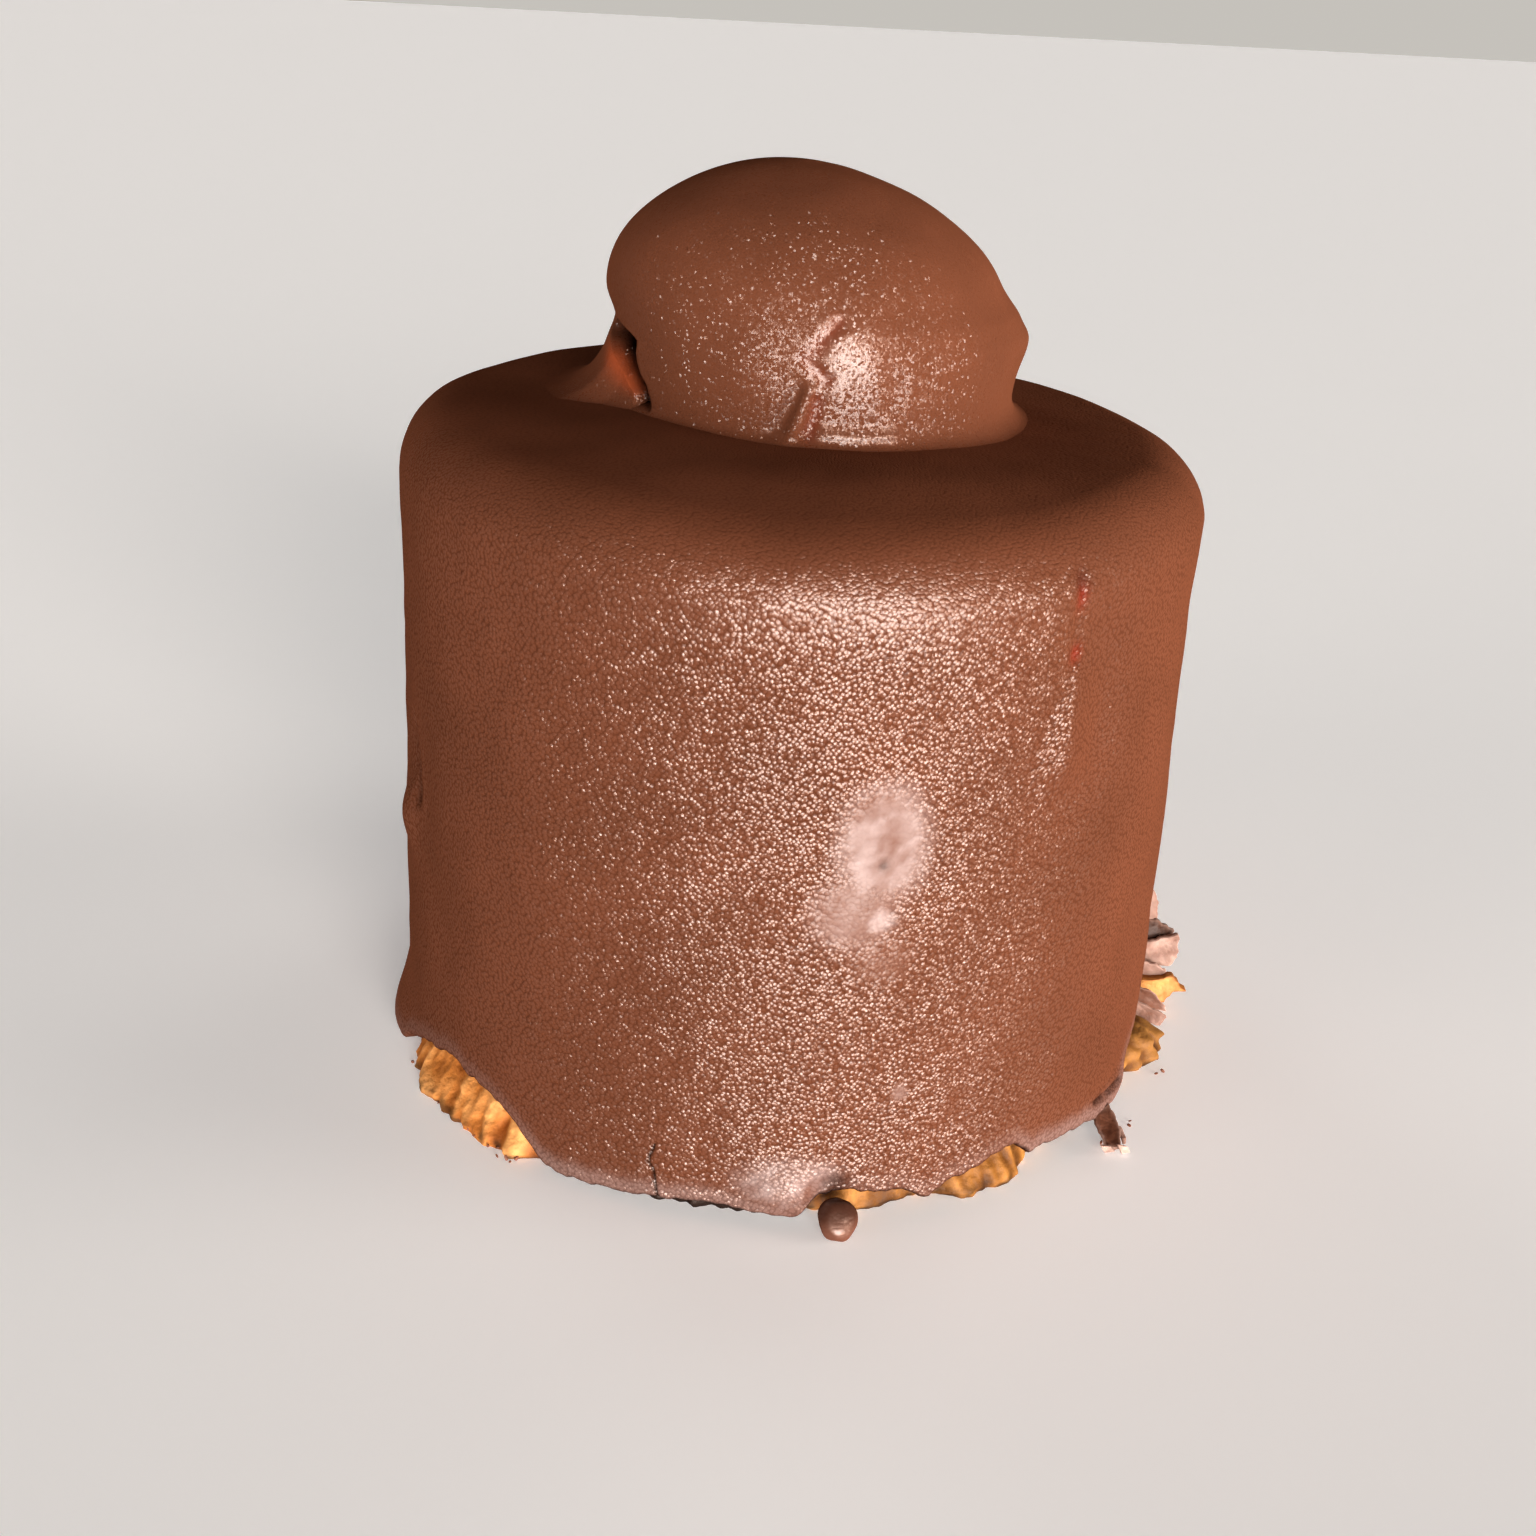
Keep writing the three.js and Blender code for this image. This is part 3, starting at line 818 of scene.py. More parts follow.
def plain_glaze_point(degrees, height):
    """Where the glaze would be: a wall below the widest height, rounded out at the cake's top."""
    if height >= BUN_WIDEST:
        return round_point(degrees, height)
    turns = np.radians(degrees)
    below = (BUN_WIDEST - height) / (BUN_WIDEST - CAKE_HEIGHT)
    reach = bun_section(turns, BUN_WIDEST) * (1.0 - GLAZE_DRAW * below)
    reach = reach + FRONT_FLARE * below * swell(turn_between(degrees, FRONT_FLARE_AT), FRONT_FLARE_HALF)
    at, size = np.array(FILLETS).T
    fillet = np.interp(degrees, at, size, period=360.0)
    low = np.clip(fillet - max(height - CAKE_HEIGHT, 0.0), 0.0, None)
    reach = reach + fillet - np.sqrt(fillet * fillet - low * low)
    return np.stack([BUN_X + reach * np.cos(turns), BUN_Y + reach * np.sin(turns)], axis=-1)


def slot_edges(height):
    """The curtain's edge and where the glaze starts again, at one height."""
    at, edge, again = np.array(SLOT_EDGES).T
    return np.interp(height, at, edge), np.interp(height, at, again)


def slot_ring(height):
    """The stretch of a ring that turns in at the curtain's edge, runs behind it and comes out again."""
    edge, again = slot_edges(height)
    open_share = ramp(SLOT_TOP - height, 0.0, SLOT_TOP_FADE) * ramp(height - SLOT_FOOT, 0.0, SLOT_FOOT_FADE)
    share = np.linspace(0.0, 1.0, SLOT_COLUMNS, endpoint=False)
    behind = edge - SLOT_BEHIND * open_share
    angles = [edge - SLOT_SPREAD, edge, behind, again, again + SLOT_SPREAD]
    degrees = np.interp(share, SLOT_STOPS, angles)
    inwards = SLOT_DEPTH * open_share * ramp(np.interp(share, SLOT_STOPS, SLOT_DEEP), 0.0, 1.0)
    points = glaze_point(degrees, height)
    away = points - np.array([BUN_X, BUN_Y])
    ring = points - away / np.linalg.norm(away, axis=-1, keepdims=True) * inwards[:, None]
    return ring, ramp(inwards / SLOT_DEPTH, *SLOT_DARKENS)


def bun_ring(height):
    """One closed ring of the profiterole's surface, and each point's share of the slot's painted shade."""
    edge, again = slot_edges(height)
    glazed = np.linspace(again + SLOT_SPREAD - 360.0, edge - SLOT_SPREAD, BUN_COLUMNS, endpoint=False)
    pocket, slot_shade = slot_ring(height)
    return np.vstack([glaze_point(glazed, height), pocket]), np.concatenate([np.zeros(BUN_COLUMNS), slot_shade])


def beside_slot(heights, columns):
    """How near each point of the rings is to the curtain's edge, where the thin glaze has a painted glow.
    """
    away = np.arange(columns) - BUN_COLUMNS
    tall = ramp(heights, *GLOW_STARTS) * (1.0 - ramp(heights, *GLOW_ENDS))
    return tall[:, None] * swell(np.minimum(away, 0.0), GLOW_COLUMNS) * (away < GLOW_IN_SLOT * SLOT_COLUMNS)


def profiterole_coat(material):
    foot_share = (np.arange(FOOT_ROWS) / FOOT_ROWS) ** FOOT_CROWDING
    foot_heights = CAKE_HEIGHT + (BUN_WIDEST - CAKE_HEIGHT) * foot_share
    rises = np.radians(np.linspace(0.0, ROUND_LAST, ROUND_ROWS))
    round_heights = BUN_WIDEST + BUN_HALF_UP * np.sin(rises)
    heights = np.concatenate([[BUN_FOOT], foot_heights, round_heights])
    rings, slot_shade = (np.array(part) for part in zip(*[bun_ring(height) for height in heights]))
    up = np.broadcast_to(heights[:, None], rings.shape[:2])
    points = np.concatenate([rings, up[..., None]], axis=-1)

    middle = np.stack([np.full(up.shape, BUN_X), np.full(up.shape, BUN_Y), up], axis=-1)
    outward = points - middle
    outward[..., 2] = np.clip(up - BUN_WIDEST, 0.0, None) * SWELL_LIFT
    outward /= np.linalg.norm(outward, axis=-1, keepdims=True)
    degrees = np.degrees(np.arctan2(outward[..., 1], outward[..., 0]))
    out = lumpy(points, BUN_LUMPS)
    for at, height, outwards, spread, along in BUN_SWELLS:
        out += outwards * swell(turn_between(degrees, at), spread) * swell(up - height, along)
    in_front = 1.0 - ramp(turn_between(degrees, FRONT) ** 2, *MARKS_FADE)
    for mark in BUN_MARKS:
        out += in_front * mark_relief(path_gap(points[..., 0], up, mark["path"]), mark)
    out *= ramp(up, *RELIEF_STARTS)
    points += outward * out[..., None]
    near_top = 1.0 - ramp(up, *FOLLOW_ENDS)
    points[..., 2] += near_top * (top_relief(points) - FOOT_SUNK - TOP_FALL * points[..., 0])

    dent, fold, beside, at_foot = [
        in_front * swell(path_gap(points[..., 0], up, mark["path"]), mark["tone"])
        for mark in (BUN_DENT, BUN_FOLD_SHADE, BUN_FOLD_RIGHT, BUN_FOOT_RIDGE)]
    curtain = beside_slot(heights, rings.shape[1])
    stretched = in_front * swell(spot_gap(points[..., 0], up, GLOSS_AT, GLOSS_HALF), 1.0)
    glossy = np.maximum(stretched, at_foot)
    # Dark is painted shade in the slot and beside the fold; the curtain's edge gets a painted glow
    marks = {
        "grain": (1.0 - DENT_SMOOTH * np.maximum(dent, fold)) * (1.0 - GLOSS_SMOOTH * glossy),
        "matt": np.maximum(np.maximum(slot_shade, curtain), BUN_MATT * (1.0 - glossy)),
        "pale": np.zeros(up.shape),
        "dark": np.maximum(SLOT_DARK * slot_shade, FOLD_DARK * fold),
        "red": np.maximum(DENT_RED * dent, FOLD_RED * beside),
        "painted_glow": CURTAIN_GLOW * curtain * (1.0 - slot_shade),
    }
    return ring_piece("profiterole_coat", points, material, marks)


# The pastry base, the drop, the flakes and the crumbs

def pastry_base(material):
    angles = np.linspace(-180.0, 180.0, BASE_COLUMNS, endpoint=False)
    shares = np.concatenate([[0.0], np.linspace(0.0, 1.0, BASE_ROWS), [1.0]])
    heights = np.broadcast_to((BASE_HEIGHT * shares)[:, None], (len(shares), BASE_COLUMNS))
    around = np.broadcast_to(angles, heights.shape)
    radii = np.full(heights.shape, BASE_RADIUS)
    low = np.clip(1.0 - heights / FOOT_HEIGHT, 0.0, 1.0)
    for at, outwards, half in FOOT_SPREADS:
        radii += outwards * low**FOOT_CURVE * np.exp(-((turn_between(around, at) / half) ** 4))
    for at, outwards, spread, tall in BASE_LUMPS:
        bulge = np.sqrt(np.clip(1.0 - (heights / tall) ** 2, 0.0, 1.0))
        radii += outwards * bulge * swell(turn_between(around, at), spread)
    plain = polar(around, radii, heights)
    along_ribs = polar(around + RIB_SLANT * heights, BASE_RADIUS, heights / RIB_LONGER)
    torn = swell(turn_between(around, TORN_AT), TORN_SPREAD)
    folds = lumpy(plain, BASE_FOLDS) + torn * lumpy(plain, TORN_FOLDS)
    ribs = RIB_DEPTH * unevenness(along_ribs, RIB_SIZE, 21) + folds
    radii = radii + ribs + lumpy(plain, BASE_CRUMBLE)
    hidden = ramp(heights, *HIDDEN_HEIGHTS)
    radii = radii + hidden * np.clip(BASE_RADIUS - radii, None, 0.0)
    radii -= EDGE_ROUND * swell(heights, EDGE_SPREAD)
    radii[[0, -1]] *= BASE_INNER
    gap_shade = within(around, *HEM_GAP)
    foot_band = np.clip(FOOT_BAND_DARK + lumpy(plain, FOOT_BAND_LUMPS), 0.0, FOOT_BAND_DARKEST)
    foot_band *= 1.0 - ramp(heights, *FOOT_BAND_ENDS)
    # Rib tone carries painted shade and highlight, the gap's dark is painted shade, the gold partly painted
    # light
    marks = {
        "rib": np.clip(0.5 + RIB_TONE * ribs, 0.0, 1.0),
        "brown": (1.0 - within(around, *GOLDEN)) * (1.0 - TORN_LESS_BROWN * torn),
        "dark": np.maximum(np.maximum(gap_shade, foot_band), TORN_DARK * torn),
    }
    points = polar(around, radii, heights)
    return ring_piece("pastry_base_ribbed", points, material, marks)


def hem_drop(material):
    """A small uneven round of chocolate that leans out of the hem."""
    middle = polar(np.array(DROP["angle"]), DROP["from_axis"], DROP["height"])
    rows = 26
    columns = 40
    last_lift = 86.0
    lift = np.radians(np.linspace(-last_lift, last_lift, rows))[:, None]
    turn = np.linspace(0.0, 2.0 * math.pi, columns, endpoint=False)[None, :]
    level = np.cos(lift)
    ball = np.stack(np.broadcast_arrays(level * np.cos(turn), level * np.sin(turn), np.sin(lift)), axis=-1)
    ball = ball * (1.0 + lumpy(ball, DROP["lumps"]))[..., None]
    ball = ball * np.array([DROP["deep"], DROP["wide"], DROP["tall"]])
    ball[..., 0] -= DROP["lean"] * ball[..., 2]
    outwards = polar(np.array(DROP["angle"]), 1.0, 0.0)
    along = np.array([-outwards[1], outwards[0], 0.0])
    up = np.array([0.0, 0.0, 1.0])
    points = middle + ball @ np.array([outwards, along, up])
    none = np.zeros(points.shape[:2])
    dark = none + DROP["dark"] * ramp(lift, *DROP["darkens"])
    marks = {"grain": none + DROP["grain"], "pale": none + DROP["pale"], "dark": dark, "red": none}
    return ring_piece("hem_drop", points, material, marks)


def flake_rings(corners, thick, bow, seed):
    """Rings of a thin broken plate, from the middle of its back over its ragged edge to its front,
    and how near to the edge each point is."""
    spots = np.array([polar(np.array(angle), distance, height) for angle, distance, height in corners])
    following = np.roll(spots, -1, axis=0)
    normal = np.cross(spots, following).sum(axis=0)
    normal = normal / np.linalg.norm(normal)
    along = np.arange(FLAKE_COLUMNS) * len(spots) / FLAKE_COLUMNS
    part = (along % 1.0)[:, None]
    corner = along.astype(int)
    centre = spots.mean(axis=0)
    outline = spots[corner] * (1.0 - part) + following[corner] * part
    rags = [(height, size, seed + number) for number, (height, size) in enumerate(FLAKE_RAGS)]
    torn = lumpy(outline, rags)[:, None]
    share = np.linspace(FLAKE_MIDDLE, 1.0, FLAKE_ROWS)[:, None, None] ** FLAKE_CROWDING
    middle = centre + (outline - centre) * share * (1.0 + torn * share**2)
    middle = middle + normal * bow * (1.0 - share**2)
    lumps = [(*FLAKE_LUMPS, seed + len(rags))]
    uneven = lumpy(middle, lumps)[..., None]
    half = 0.5 * thick * (1.0 - FLAKE_EDGE_THINNER * share**6)
    front = middle + normal * (half + uneven)
    back = middle - normal * (half - uneven)
    border = np.broadcast_to(share[..., 0] ** 8, middle.shape[:2])
    return np.vstack([back, front[::-1]]), np.vstack([border, border[::-1]])


def flake_piece(name, flakes, seed, material, flake_marks):
    """Broken plates as one mesh; flake_marks gives a plate's marks from its nearness to the edge."""
    points = []
    faces = []
    marks = []
    count = 0
    for number, (corners, thick, bow, *shades) in enumerate(flakes):
        rings, border = flake_rings(corners, thick, bow, seed + 3 * number)
        plate = with_poles(rings)
        points.append(plate)
        faces += [[count + corner for corner in face] for face in ring_faces(*rings.shape[:2])]
        marks.append(flake_marks(with_poles(border), *shades))
        count += len(plate)
    joined = {mark: np.concatenate([plate[mark] for plate in marks]) for mark in marks[0]}
    return mesh_piece(name, np.vstack(points), faces, material, joined)


def coat_flake_marks(border, dark, pale):
    """A flake of coat is paler at its broken edge, where its painted shade is also lighter."""
    return {"pale": np.maximum(pale, BREAK_PALE * border), "dark": dark * (1.0 - BREAK_LIGHTER * border)}


def pastry_flake_marks(border):
    """A flake of pastry is browner at its edge."""
    return {
        "rib": np.interp(border, (0.0, 1.0), PASTRY_FLAKE_RIB),
        "brown": np.interp(border, (0.0, 1.0), PASTRY_FLAKE_BROWN),
    }


def coat_flakes(material):
    return flake_piece("coat_flakes", FLAKES, FLAKE_SEED, material, coat_flake_marks)


def pastry_flakes(material):
    return flake_piece("pastry_flakes", PASTRY_FLAKES, PASTRY_FLAKE_SEED, material, pastry_flake_marks)


def crumb_tree():
    """Crumbs of uneven size scattered on the faces that come in."""
    most_turn = (6.28, 6.28, 6.28)
    least_stretch = (0.35, 0.5, 0.35)
    most_stretch = (1.2, 1.5, 0.9)
    tree = bpy.data.node_groups.new("crumb_scatter", "GeometryNodeTree")
    wanted = [("Geometry", "Geometry"), ("Density", "Float"), ("Crumb size", "Float"), ("Seed", "Int"),
              ("Material", "Material")]
    for name, kind in wanted:
        tree.interface.new_socket(name, in_out="INPUT", socket_type="NodeSocket" + kind)
    tree.interface.new_socket("Geometry", in_out="OUTPUT", socket_type="NodeSocketGeometry")
    given = add_node(tree, "NodeGroupInput").outputs
    spots = add_node(tree, "GeometryNodeDistributePointsOnFaces", {
        "Mesh": given["Geometry"], "Density": given["Density"], "Seed": given["Seed"]})
    crumb = add_node(tree, "GeometryNodeMeshIcoSphere", {"Radius": 0.5, "Subdivisions": 1})
    turn = add_node(tree, "FunctionNodeRandomValue", {
        0: (0.0, 0.0, 0.0), 1: most_turn, "Seed": given["Seed"]}, data_type="FLOAT_VECTOR")
    stretch = add_node(tree, "FunctionNodeRandomValue", {
        0: least_stretch, 1: most_stretch, "Seed": given["Seed"]}, data_type="FLOAT_VECTOR")
    size = add_node(tree, "ShaderNodeVectorMath", {
        0: stretch.outputs[0], "Scale": given["Crumb size"]}, operation="SCALE")
    placed = add_node(tree, "GeometryNodeInstanceOnPoints", {
        "Points": spots.outputs["Points"], "Instance": crumb.outputs["Mesh"],
        "Rotation": turn.outputs[0], "Scale": size.outputs["Vector"]})
    real = add_node(tree, "GeometryNodeRealizeInstances", {"Geometry": placed.outputs["Instances"]})
    finished = add_node(tree, "GeometryNodeSetMaterial", {
        "Geometry": real.outputs["Geometry"], "Material": given["Material"]})
    add_node(tree, "NodeGroupOutput", {"Geometry": finished.outputs["Geometry"]})
    return tree


def crumb_band(name, material):
    """Strips on the ground beside the broken stretches of the foot, which carry the crumbs."""
    low = 0.2
    steps = 40
    points = []
    faces = []
    for first, last, nearest, furthest in CRUMB_ARCS:
        start = 2 * steps * len(points)
        angles = np.linspace(first, last, steps)
        points.append(np.vstack([polar(angles, nearest, low), polar(angles, furthest, low)]))
        inner = start + np.arange(steps - 1)
        faces += np.stack([inner, inner + steps, inner + steps + 1, inner + 1], axis=-1).tolist()
    return mesh_piece(name, np.vstack(points), faces, material)


def crumb_piece(name, tree, density, size, seed, material):
    """Crumbs beside the broken stretches of the foot, as a plain mesh."""
    carrier = crumb_band(name + "_band", material)
    modifier = carrier.modifiers.new("crumbs", "NODES")
    modifier.node_group = tree
    values = {"Density": density, "Crumb size": size * MM, "Seed": seed, "Material": material}
    for socket in tree.interface.items_tree:
        if socket.in_out == "INPUT" and socket.name in values:
            modifier[socket.identifier] = values[socket.name]
    shown = carrier.evaluated_get(bpy.context.evaluated_depsgraph_get())
    mesh = bpy.data.meshes.new_from_object(shown)
    carrier.modifiers.remove(modifier)
    bpy.data.objects.remove(carrier)
    piece = bpy.data.objects.new(name, mesh)
    bpy.context.scene.collection.objects.link(piece)
    return piece


# Materials

def linear(hex_colour):
    """An sRGB hex colour as linear red, green, blue and alpha."""
    parts = [int(hex_colour[start:start + 2], 16) / 255.0 for start in (1, 3, 5)]
    return tuple(c / 12.92 if c <= 0.04045 else ((c + 0.055) / 1.055) ** 2.4 for c in parts) + (1.0,)


def per_metre(size):
    """The texture scale whose pattern repeats about every size in millimetres."""
    return 1.0 / (size * MM)


def add_node(tree, kind, inputs=None, **settings):
    """A node with its settings, its values and its links."""
    node = tree.nodes.new(kind)
    for key, value in settings.items():
        setattr(node, key, value)
    for key, value in (inputs or {}).items():
        if isinstance(value, bpy.types.NodeSocket):
            tree.links.new(value, node.inputs[key])
        else:
            node.inputs[key].default_value = value
    return node


def new_material(name):
    """A material with an empty tree and its Principled shader."""
    material = bpy.data.materials.new(name)
    material.use_nodes = True
    tree = material.node_tree
    tree.nodes.clear()
    shader = add_node(tree, "ShaderNodeBsdfPrincipled")
    add_node(tree, "ShaderNodeOutputMaterial", {"Surface": shader.outputs["BSDF"]})
    return material, tree, shader


def round_the_side(tree, place, radius):
    """Distances round and along a round side, so that a flat pattern lies on it evenly, a little
    turned so that no row of it is level. The pattern's ends meet at the back."""
    slant = math.radians(35.0)
    parts = add_node(tree, "ShaderNodeSeparateXYZ", {"Vector": place}).outputs
    forwards = add_node(tree, "ShaderNodeMath", {0: parts["Y"], 1: -1.0}, operation="MULTIPLY")
    turn = add_node(tree, "ShaderNodeMath", {0: parts["X"], 1: forwards.outputs[0]}, operation="ARCTAN2")
    across = add_node(tree, "ShaderNodeMath", {0: turn.outputs[0], 1: radius * MM}, operation="MULTIPLY")
    level = add_node(tree, "ShaderNodeCombineXYZ", {"X": parts["X"], "Y": parts["Y"]})
    reach = add_node(tree, "ShaderNodeVectorMath", {0: level.outputs["Vector"]}, operation="LENGTH")
    along = add_node(tree, "ShaderNodeMath", {
        0: parts["Z"], 1: reach.outputs["Value"]}, operation="SUBTRACT")
    laid = add_node(tree, "ShaderNodeCombineXYZ", {"X": across.outputs[0], "Y": along.outputs[0]})
    slanted = add_node(tree, "ShaderNodeVectorRotate", {
        "Vector": laid.outputs["Vector"], "Angle": slant}, rotation_type="Z_AXIS")
    return slanted.outputs["Vector"]


def satin_chocolate(name, pebble_size, pebble_height, small_lean, most_lean, rarity, side_radius=None):
    """Milk chocolate couverture, set with a fine pebbled grain: matt between the pebbles and with painted
    shade in their gaps, while each pebble leans its own way and sparkles, smooth and a little bloomed
    where it was rubbed or broken, there partly with a painted highlight.
    On a round side the pebbles lie flat on it. Heights are in millimetres, leans are slopes, and the
    greatest leans are rarer the higher their rarity."""
    soft_share = 0.7
    wave_size = 2.6
    wave_height = 0.065
    cloud_size = 9.0
    gap_darkening = 0.3
    gap_gloss = 0.14
    matt_gloss = 0.1
    matt_roughness = 0.2
    least_rough, most_rough = 0.38, 0.44
    calm_from, calm_to = 0.25, 0.6
    calm_lean = 0.1
    dull_from, dull_to = 0.42, 0.72
    great_lean = most_lean / (0.5 * 0.25 ** rarity)
    material, tree, shader = new_material(name)
    place = add_node(tree, "ShaderNodeTexCoord").outputs["Object"]
    facing = add_node(tree, "ShaderNodeNewGeometry").outputs["Normal"]
    grain, pale, dark, red, matt, painted_glow = [
        add_node(tree, "ShaderNodeAttribute", attribute_name=mark).outputs["Fac"]
        for mark in ("grain", "pale", "dark", "red", "matt", "painted_glow")]

    # Pebbles, with gaps that start and end at these shares of a pebble's size from its middle
    if side_radius is None:
        laid = place
        dimensions = "3D"
        gap_start, gap_end = 0.75, 1.1
    else:
        laid = round_the_side(tree, place, side_radius)
        dimensions = "2D"
        gap_start, gap_end = 0.36, 0.56
    pebbles = add_node(tree, "ShaderNodeTexVoronoi", {
        "Vector": laid, "Scale": per_metre(pebble_size)}, feature="F1", voronoi_dimensions=dimensions)
    away = pebbles.outputs["Distance"]
    wavy = add_node(tree, "ShaderNodeTexNoise", {
        "Vector": place, "Scale": per_metre(wave_size), "Detail": 2.0})
    cloudy = add_node(tree, "ShaderNodeTexNoise", {
        "Vector": place, "Scale": per_metre(cloud_size), "Detail": 3.0})

    # Domed pebbles on soft waves
    hollows = add_node(tree, "ShaderNodeMath", {0: away, 1: 2.0}, operation="POWER")
    domes = add_node(tree, "ShaderNodeMath", {
        0: hollows.outputs[0], 1: -pebble_height}, operation="MULTIPLY")
    graded = add_node(tree, "ShaderNodeMath", {0: domes.outputs[0], 1: grain}, operation="MULTIPLY")
    waves = add_node(tree, "ShaderNodeMath", {0: wavy.outputs["Fac"], 1: wave_height}, operation="MULTIPLY")
    soft_height = add_node(tree, "ShaderNodeMath", {
        0: graded.outputs[0], 1: soft_share, 2: waves.outputs[0]}, operation="MULTIPLY_ADD")
    soft = add_node(tree, "ShaderNodeBump", {
        "Height": soft_height.outputs[0], "Distance": MM, "Strength": 1.0})
    between = add_node(tree, "ShaderNodeMapRange", {
        "Value": away, "From Min": gap_start, "From Max": gap_end})
    gaps = add_node(tree, "ShaderNodeMath", {0: between.outputs["Result"], 1: grain}, operation="MULTIPLY")

    # Each pebble's own lean, less where the surface turns away, so that no pebble faces backwards
    either_way = add_node(tree, "ShaderNodeVectorMath", {
        0: pebbles.outputs["Color"], 1: (0.5, 0.5, 0.5)}, operation="SUBTRACT").outputs["Vector"]
    square = add_node(tree, "ShaderNodeVectorMath", {
        0: either_way, 1: either_way}, operation="MULTIPLY").outputs["Vector"]
    rare = square
    for _ in range(rarity - 1):
        rare = add_node(tree, "ShaderNodeVectorMath", {
            0: rare, 1: square}, operation="MULTIPLY").outputs["Vector"]
    steeper = add_node(tree, "ShaderNodeVectorMath", {
        0: rare, 1: (great_lean,) * 3, 2: (small_lean,) * 3}, operation="MULTIPLY_ADD").outputs["Vector"]
    from_the_side = add_node(tree, "ShaderNodeLayerWeight", {"Blend": 0.5}).outputs["Facing"]
    calmer = add_node(tree, "ShaderNodeMapRange", {
        "Value": from_the_side, "From Min": calm_from, "From Max": calm_to,
        "To Min": 1.0, "To Max": calm_lean})
    lean_share = add_node(tree, "ShaderNodeMath", {
        0: grain, 1: calmer.outputs["Result"]}, operation="MULTIPLY")
    lean = add_node(tree, "ShaderNodeVectorMath", {
        0: either_way, 1: steeper}, operation="MULTIPLY").outputs["Vector"]
    on_grain = add_node(tree, "ShaderNodeVectorMath", {
        0: lean, "Scale": lean_share.outputs[0]}, operation="SCALE").outputs["Vector"]
    leaning = add_node(tree, "ShaderNodeVectorMath", {
        0: facing, 1: on_grain}, operation="ADD").outputs["Vector"]
    facet = add_node(tree, "ShaderNodeVectorMath", {0: leaning}, operation="NORMALIZE").outputs["Vector"]
    height = add_node(tree, "ShaderNodeMath", {
        0: graded.outputs[0], 1: waves.outputs[0]}, operation="ADD")
    sparkle = add_node(tree, "ShaderNodeBump", {
        "Height": height.outputs[0], "Distance": MM, "Strength": 1.0, "Normal": facet})
    aside = add_node(tree, "ShaderNodeLayerWeight", {"Blend": 0.5, "Normal": sparkle.outputs["Normal"]})
    turned_to_us = add_node(tree, "ShaderNodeMapRange", {
        "Value": aside.outputs["Facing"], "From Min": dull_from, "From Max": dull_to,
        "To Min": 1.0, "To Max": 0.0})

    # Tones: red where thin, a painted glow where light would shine through, pale where bloomed and as a
    # painted highlight, and painted shade in the gaps between pebbles and in cracks and hollows
    gap_painted_shade = add_node(tree, "ShaderNodeMath", {
        0: gaps.outputs[0], 1: gap_darkening}, operation="MULTIPLY")
    shaded = add_node(tree, "ShaderNodeMix", {
        "Factor": cloudy.outputs["Fac"], "A": linear("#543020"), "B": linear("#663b29")}, data_type="RGBA")
    for share, colour in ((red, "#6e2416"), (painted_glow, "#b8532c"), (pale, "#b6a8a8"),
                          (gap_painted_shade.outputs[0], "#2a1008"), (dark, "#1c0b06")):
        shaded = add_node(tree, "ShaderNodeMix", {
            "Factor": share, "A": shaded.outputs["Result"], "B": linear(colour)}, data_type="RGBA")

    # Gloss: most on the pebbles' tops, least where the coat is matt
    gloss = add_node(tree, "ShaderNodeMapRange", {
        "Value": cloudy.outputs["Fac"], "From Min": 0.3, "From Max": 0.7,
        "To Min": least_rough, "To Max": most_rough})
    duller = add_node(tree, "ShaderNodeMath", {
        0: matt, 1: matt_roughness, 2: gloss.outputs["Result"]}, operation="MULTIPLY_ADD")
    glossy = add_node(tree, "ShaderNodeMapRange", {"Value": matt, "To Min": 1.0, "To Max": matt_gloss})
    on_pebbles = add_node(tree, "ShaderNodeMath", {
        0: gaps.outputs[0], 1: gap_gloss - 1.0, 2: 1.0}, operation="MULTIPLY_ADD")
    on_tops = add_node(tree, "ShaderNodeMath", {
        0: glossy.outputs["Result"], 1: on_pebbles.outputs[0]}, operation="MULTIPLY")
    coated = add_node(tree, "ShaderNodeMath", {
        0: on_tops.outputs[0], 1: turned_to_us.outputs["Result"]}, operation="MULTIPLY")

    tree.links.new(shaded.outputs["Result"], shader.inputs["Base Color"])
    tree.links.new(duller.outputs[0], shader.inputs["Roughness"])
    tree.links.new(soft.outputs["Normal"], shader.inputs["Normal"])
    tree.links.new(coated.outputs[0], shader.inputs["Coat Weight"])
    tree.links.new(sparkle.outputs["Normal"], shader.inputs["Coat Normal"])
    shader.inputs["IOR"].default_value = 1.47
    shader.inputs["Specular IOR Level"].default_value = 0.0
    shader.inputs["Coat Roughness"].default_value = 0.32
    shader.inputs["Coat IOR"].default_value = 1.5
    return material


